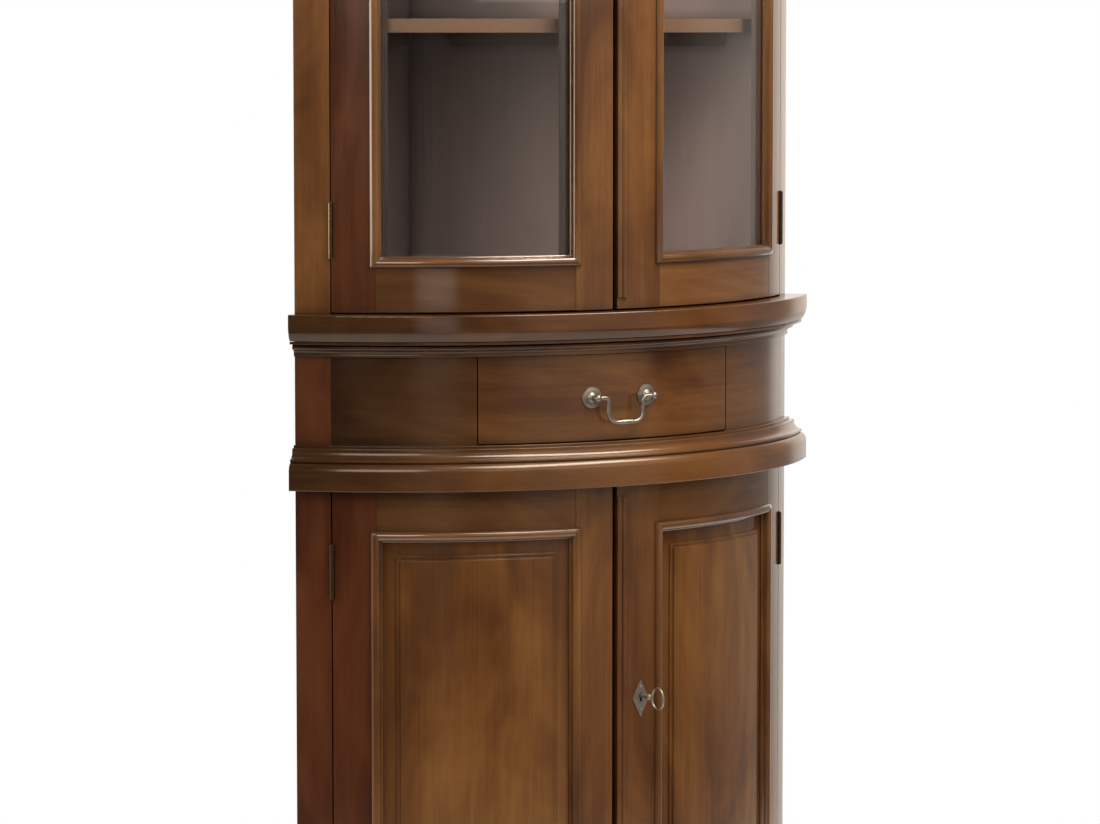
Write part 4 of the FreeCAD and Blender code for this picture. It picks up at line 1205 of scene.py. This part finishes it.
class CABINET_OT_locks(bpy.types.Operator):
    """Softens the locks and flush bolts and gives them their steel"""

    bl_idname = "cabinet.locks"
    bl_label = "Locks and bolts"

    def execute(self, context):
        for storey in STOREYS:
            for word in ("lock_case", "lock_bolt", "flush_bolt"):
                node = f"{storey}_{word}"
                place(eased_copy(node, sizes().metal_ease), [node], made_of("aged_steel"))
        return {"FINISHED"}


# Stage


WARM_LIGHT = (1, 0.94, 0.86)
DIM_ROOM = 0.06
MIDDLE = (0, FRONT_Y, 0.95)

# Width, height, place and target of each softbox.
SOFTBOXES = {
    "high_softbox": (2.2, 0.9, (0.66, -1.19, 2.94), MIDDLE),
    "front_panel": (3.0, 1.2, (0.5, -3.2, 1.95), MIDDLE),
    "left_front_softbox": (1.3, 1.3, (-2.01, -2.13, 2.1), MIDDLE),
    "left_back_softbox": (3.2, 1.0, (-2.35, 0.75, 1.4), (-0.37, -0.1, 1.4)),
}


def softbox(name, power, width, height, location, target):
    """Warm rectangular lamp turned to its target."""
    light = bpy.data.lights.new(name, "AREA")
    light.color = WARM_LIGHT
    light.shape = "RECTANGLE"
    light.size, light.size_y = width, height
    light.energy = power
    lamp = bpy.data.objects.new(name, light)
    bpy.context.scene.collection.objects.link(lamp)
    lamp.location = location
    lamp.rotation_euler = (Vector(target) - Vector(location)).to_track_quat("-Z", "Y").to_euler()


def lobe(tree, way, axis, start, full, strength):
    """Soft patch of light round one direction of the room."""
    near = shader(tree, "VectorMath", {0: way, 1: axis}, operation="DOT_PRODUCT").outputs["Value"]
    inputs = {"Value": near, "From Min": start, "From Max": full, "To Max": strength}
    return shader(tree, "MapRange", inputs, interpolation_type="SMOOTHSTEP").outputs["Result"]


def seen_clear(tree, path):
    """One for what the camera sees, through a pane as well."""
    return worked(tree, "MAXIMUM", path["Is Camera Ray"], path["Is Transmission Ray"])


def studio_world(name):
    """White backdrop, and a dim room that is bright behind, on the right and overhead."""
    world = bpy.data.worlds.new(name)
    world.use_nodes = True
    tree = world.node_tree
    tree.nodes.clear()
    way = shader(tree, "TexCoord").outputs["Generated"]
    up, down = (0, 0, 1), (0, 0, -1)
    front_band = lobe(tree, way, down, 0.04, 0.075, lobe(tree, way, up, -0.14, -0.09, 0.8))
    card_band = lobe(tree, way, up, -0.069, -0.064, lobe(tree, way, down, 0.052, 0.058, 7.0))
    right_rise = lobe(tree, way, up, -0.35, 0, 1.25)
    patches = {
        "front": ((0.37, -0.93, 0), 0.86, 0.97, front_band),
        "card": ((-0.415, -0.91, 0), 0.9895, 0.9975, card_band),
        "sky": ((0.25, -0.72, 0.65), 0.5, 0.95, 0.5),
        "beside": ((0.966, 0.259, 0), 0.55, 0.95, 0.33),
        "right": ((0.643, 0.766, 0), 0.81, 0.91, right_rise),
        "left": ((-0.97, 0.24, 0), 0.8, 0.93, 0.35),
        "back": ((0, 1, 0), 0.15, 0.55, 0.85),
    }
    light = DIM_ROOM
    for patch in patches.values():
        light = worked(tree, "MAXIMUM", light, lobe(tree, way, *patch))
    path = shader(tree, "LightPath").outputs
    turns = worked(tree, "ADD", path["Diffuse Depth"], path["Glossy Depth"])
    straight = worked(tree, "LESS_THAN", turns, 0.5)
    seen = worked(tree, "MULTIPLY", seen_clear(tree, path), straight)
    warm = shader(tree, "VectorMath", {0: WARM_LIGHT, "Scale": light}, operation="SCALE")
    room = shader(tree, "Background", {"Color": warm.outputs[0], "Strength": 1.0})
    sheet = shader(tree, "Background", {"Color": (1, 1, 1, 1), "Strength": 1.0})
    both = shader(tree, "MixShader", {0: seen, 1: room.outputs[0], 2: sheet.outputs[0]})
    output = shader(tree, "OutputWorld")
    tree.links.new(both.outputs[0], output.inputs["Surface"])
    return world


def pale_floor(name, colour, radius):
    """Pale matt floor that keeps shadows near the cabinet and goes over to white further out."""
    material, tree, output = new_material(name)
    spot = object_spot(tree)
    grit = noise(tree, spot, 60, 3)
    shades = [(0.3, tuple(value * 0.96 for value in colour)), (0.7, tuple(colour))]
    paint = shader(tree, "BsdfDiffuse", {"Color": ramp(tree, grit, shades)})
    far = shader(tree, "VectorMath", {0: spot}, operation="LENGTH").outputs["Value"]
    edge = remap(tree, far, 0.48 * radius, 0.92 * radius, 0, 1)
    path = shader(tree, "LightPath").outputs
    seen = worked(tree, "MAXIMUM", seen_clear(tree, path), path["Is Glossy Ray"])
    share = worked(tree, "MULTIPLY", seen, edge)
    white = shader(tree, "Emission", {"Color": (1, 1, 1, 1), "Strength": 1.0})
    both = shader(tree, "MixShader", {0: share, 1: paint.outputs[0], 2: white.outputs[0]})
    tree.links.new(both.outputs[0], output.inputs["Surface"])
    return material


class CABINET_OT_stage(bpy.types.Operator):
    """Sets the floor, the studio lights and the camera"""

    bl_idname = "cabinet.stage"
    bl_label = "Stage"

    def execute(self, context):
        scene = context.scene
        stage = scene.cabinet_stage
        scene.view_settings.view_transform = "Standard"
        bpy.ops.object.select_all(action="DESELECT")
        bpy.ops.mesh.primitive_circle_add(vertices=stage.facets, radius=stage.floor_radius, fill_type="NGON")
        floor = added("floor")
        floor.data.materials.append(pale_floor("pale_floor", stage.floor_colour, stage.floor_radius))
        scene.world = studio_world("studio")
        for word, shape in SOFTBOXES.items():
            softbox(word, getattr(stage, f"{word}_power"), *shape)
        lens = bpy.data.cameras.new("camera")
        lens.lens = stage.camera_lens
        camera = bpy.data.objects.new("camera", lens)
        scene.collection.objects.link(camera)
        camera.location = stage.camera_place
        camera.rotation_euler = (math.pi / 2 - stage.camera_tilt, 0, -stage.camera_turn)
        scene.camera = camera
        return {"FINISHED"}


GROUPS = (CabinetSizes, CabinetFinish, CabinetStage)
OPERATORS = (
    CABINET_OT_carcass, CABINET_OT_side_boards, CABINET_OT_door_frames, CABINET_OT_beads,
    CABINET_OT_panels, CABINET_OT_panes, CABINET_OT_meeting_beads, CABINET_OT_mouldings,
    CABINET_OT_waist_front, CABINET_OT_drawer_box, CABINET_OT_pull, CABINET_OT_keys,
    CABINET_OT_hinges, CABINET_OT_locks, CABINET_OT_stage,
)


class CABINET_PT_pieces(bpy.types.Panel):
    """Lists the cabinet's sizes, finishes and pieces"""

    bl_label = "Corner cabinet"
    bl_idname = "CABINET_PT_pieces"
    bl_space_type = "VIEW_3D"
    bl_region_type = "UI"
    bl_category = "Cabinet"

    def draw(self, context):
        layout = self.layout
        for group in ("cabinet_sizes", "cabinet_finish", "cabinet_stage"):
            settings = getattr(context.scene, group)
            box = layout.box()
            for word in settings.__annotations__:
                box.prop(settings, word)
        for operator in OPERATORS:
            layout.operator(operator.bl_idname)


def register():
    for kind in GROUPS + OPERATORS + (CABINET_PT_pieces,):
        bpy.utils.register_class(kind)
    bpy.types.Scene.cabinet_sizes = PointerProperty(type=CabinetSizes)
    bpy.types.Scene.cabinet_finish = PointerProperty(type=CabinetFinish)
    bpy.types.Scene.cabinet_stage = PointerProperty(type=CabinetStage)


def unregister():
    del bpy.types.Scene.cabinet_stage
    del bpy.types.Scene.cabinet_finish
    del bpy.types.Scene.cabinet_sizes
    for kind in reversed(GROUPS + OPERATORS + (CABINET_PT_pieces,)):
        bpy.utils.unregister_class(kind)


def main():
    register()
    for operator in OPERATORS:
        group, word = operator.bl_idname.split(".")
        getattr(getattr(bpy.ops, group), word)()


if __name__ == "__main__":
    main()
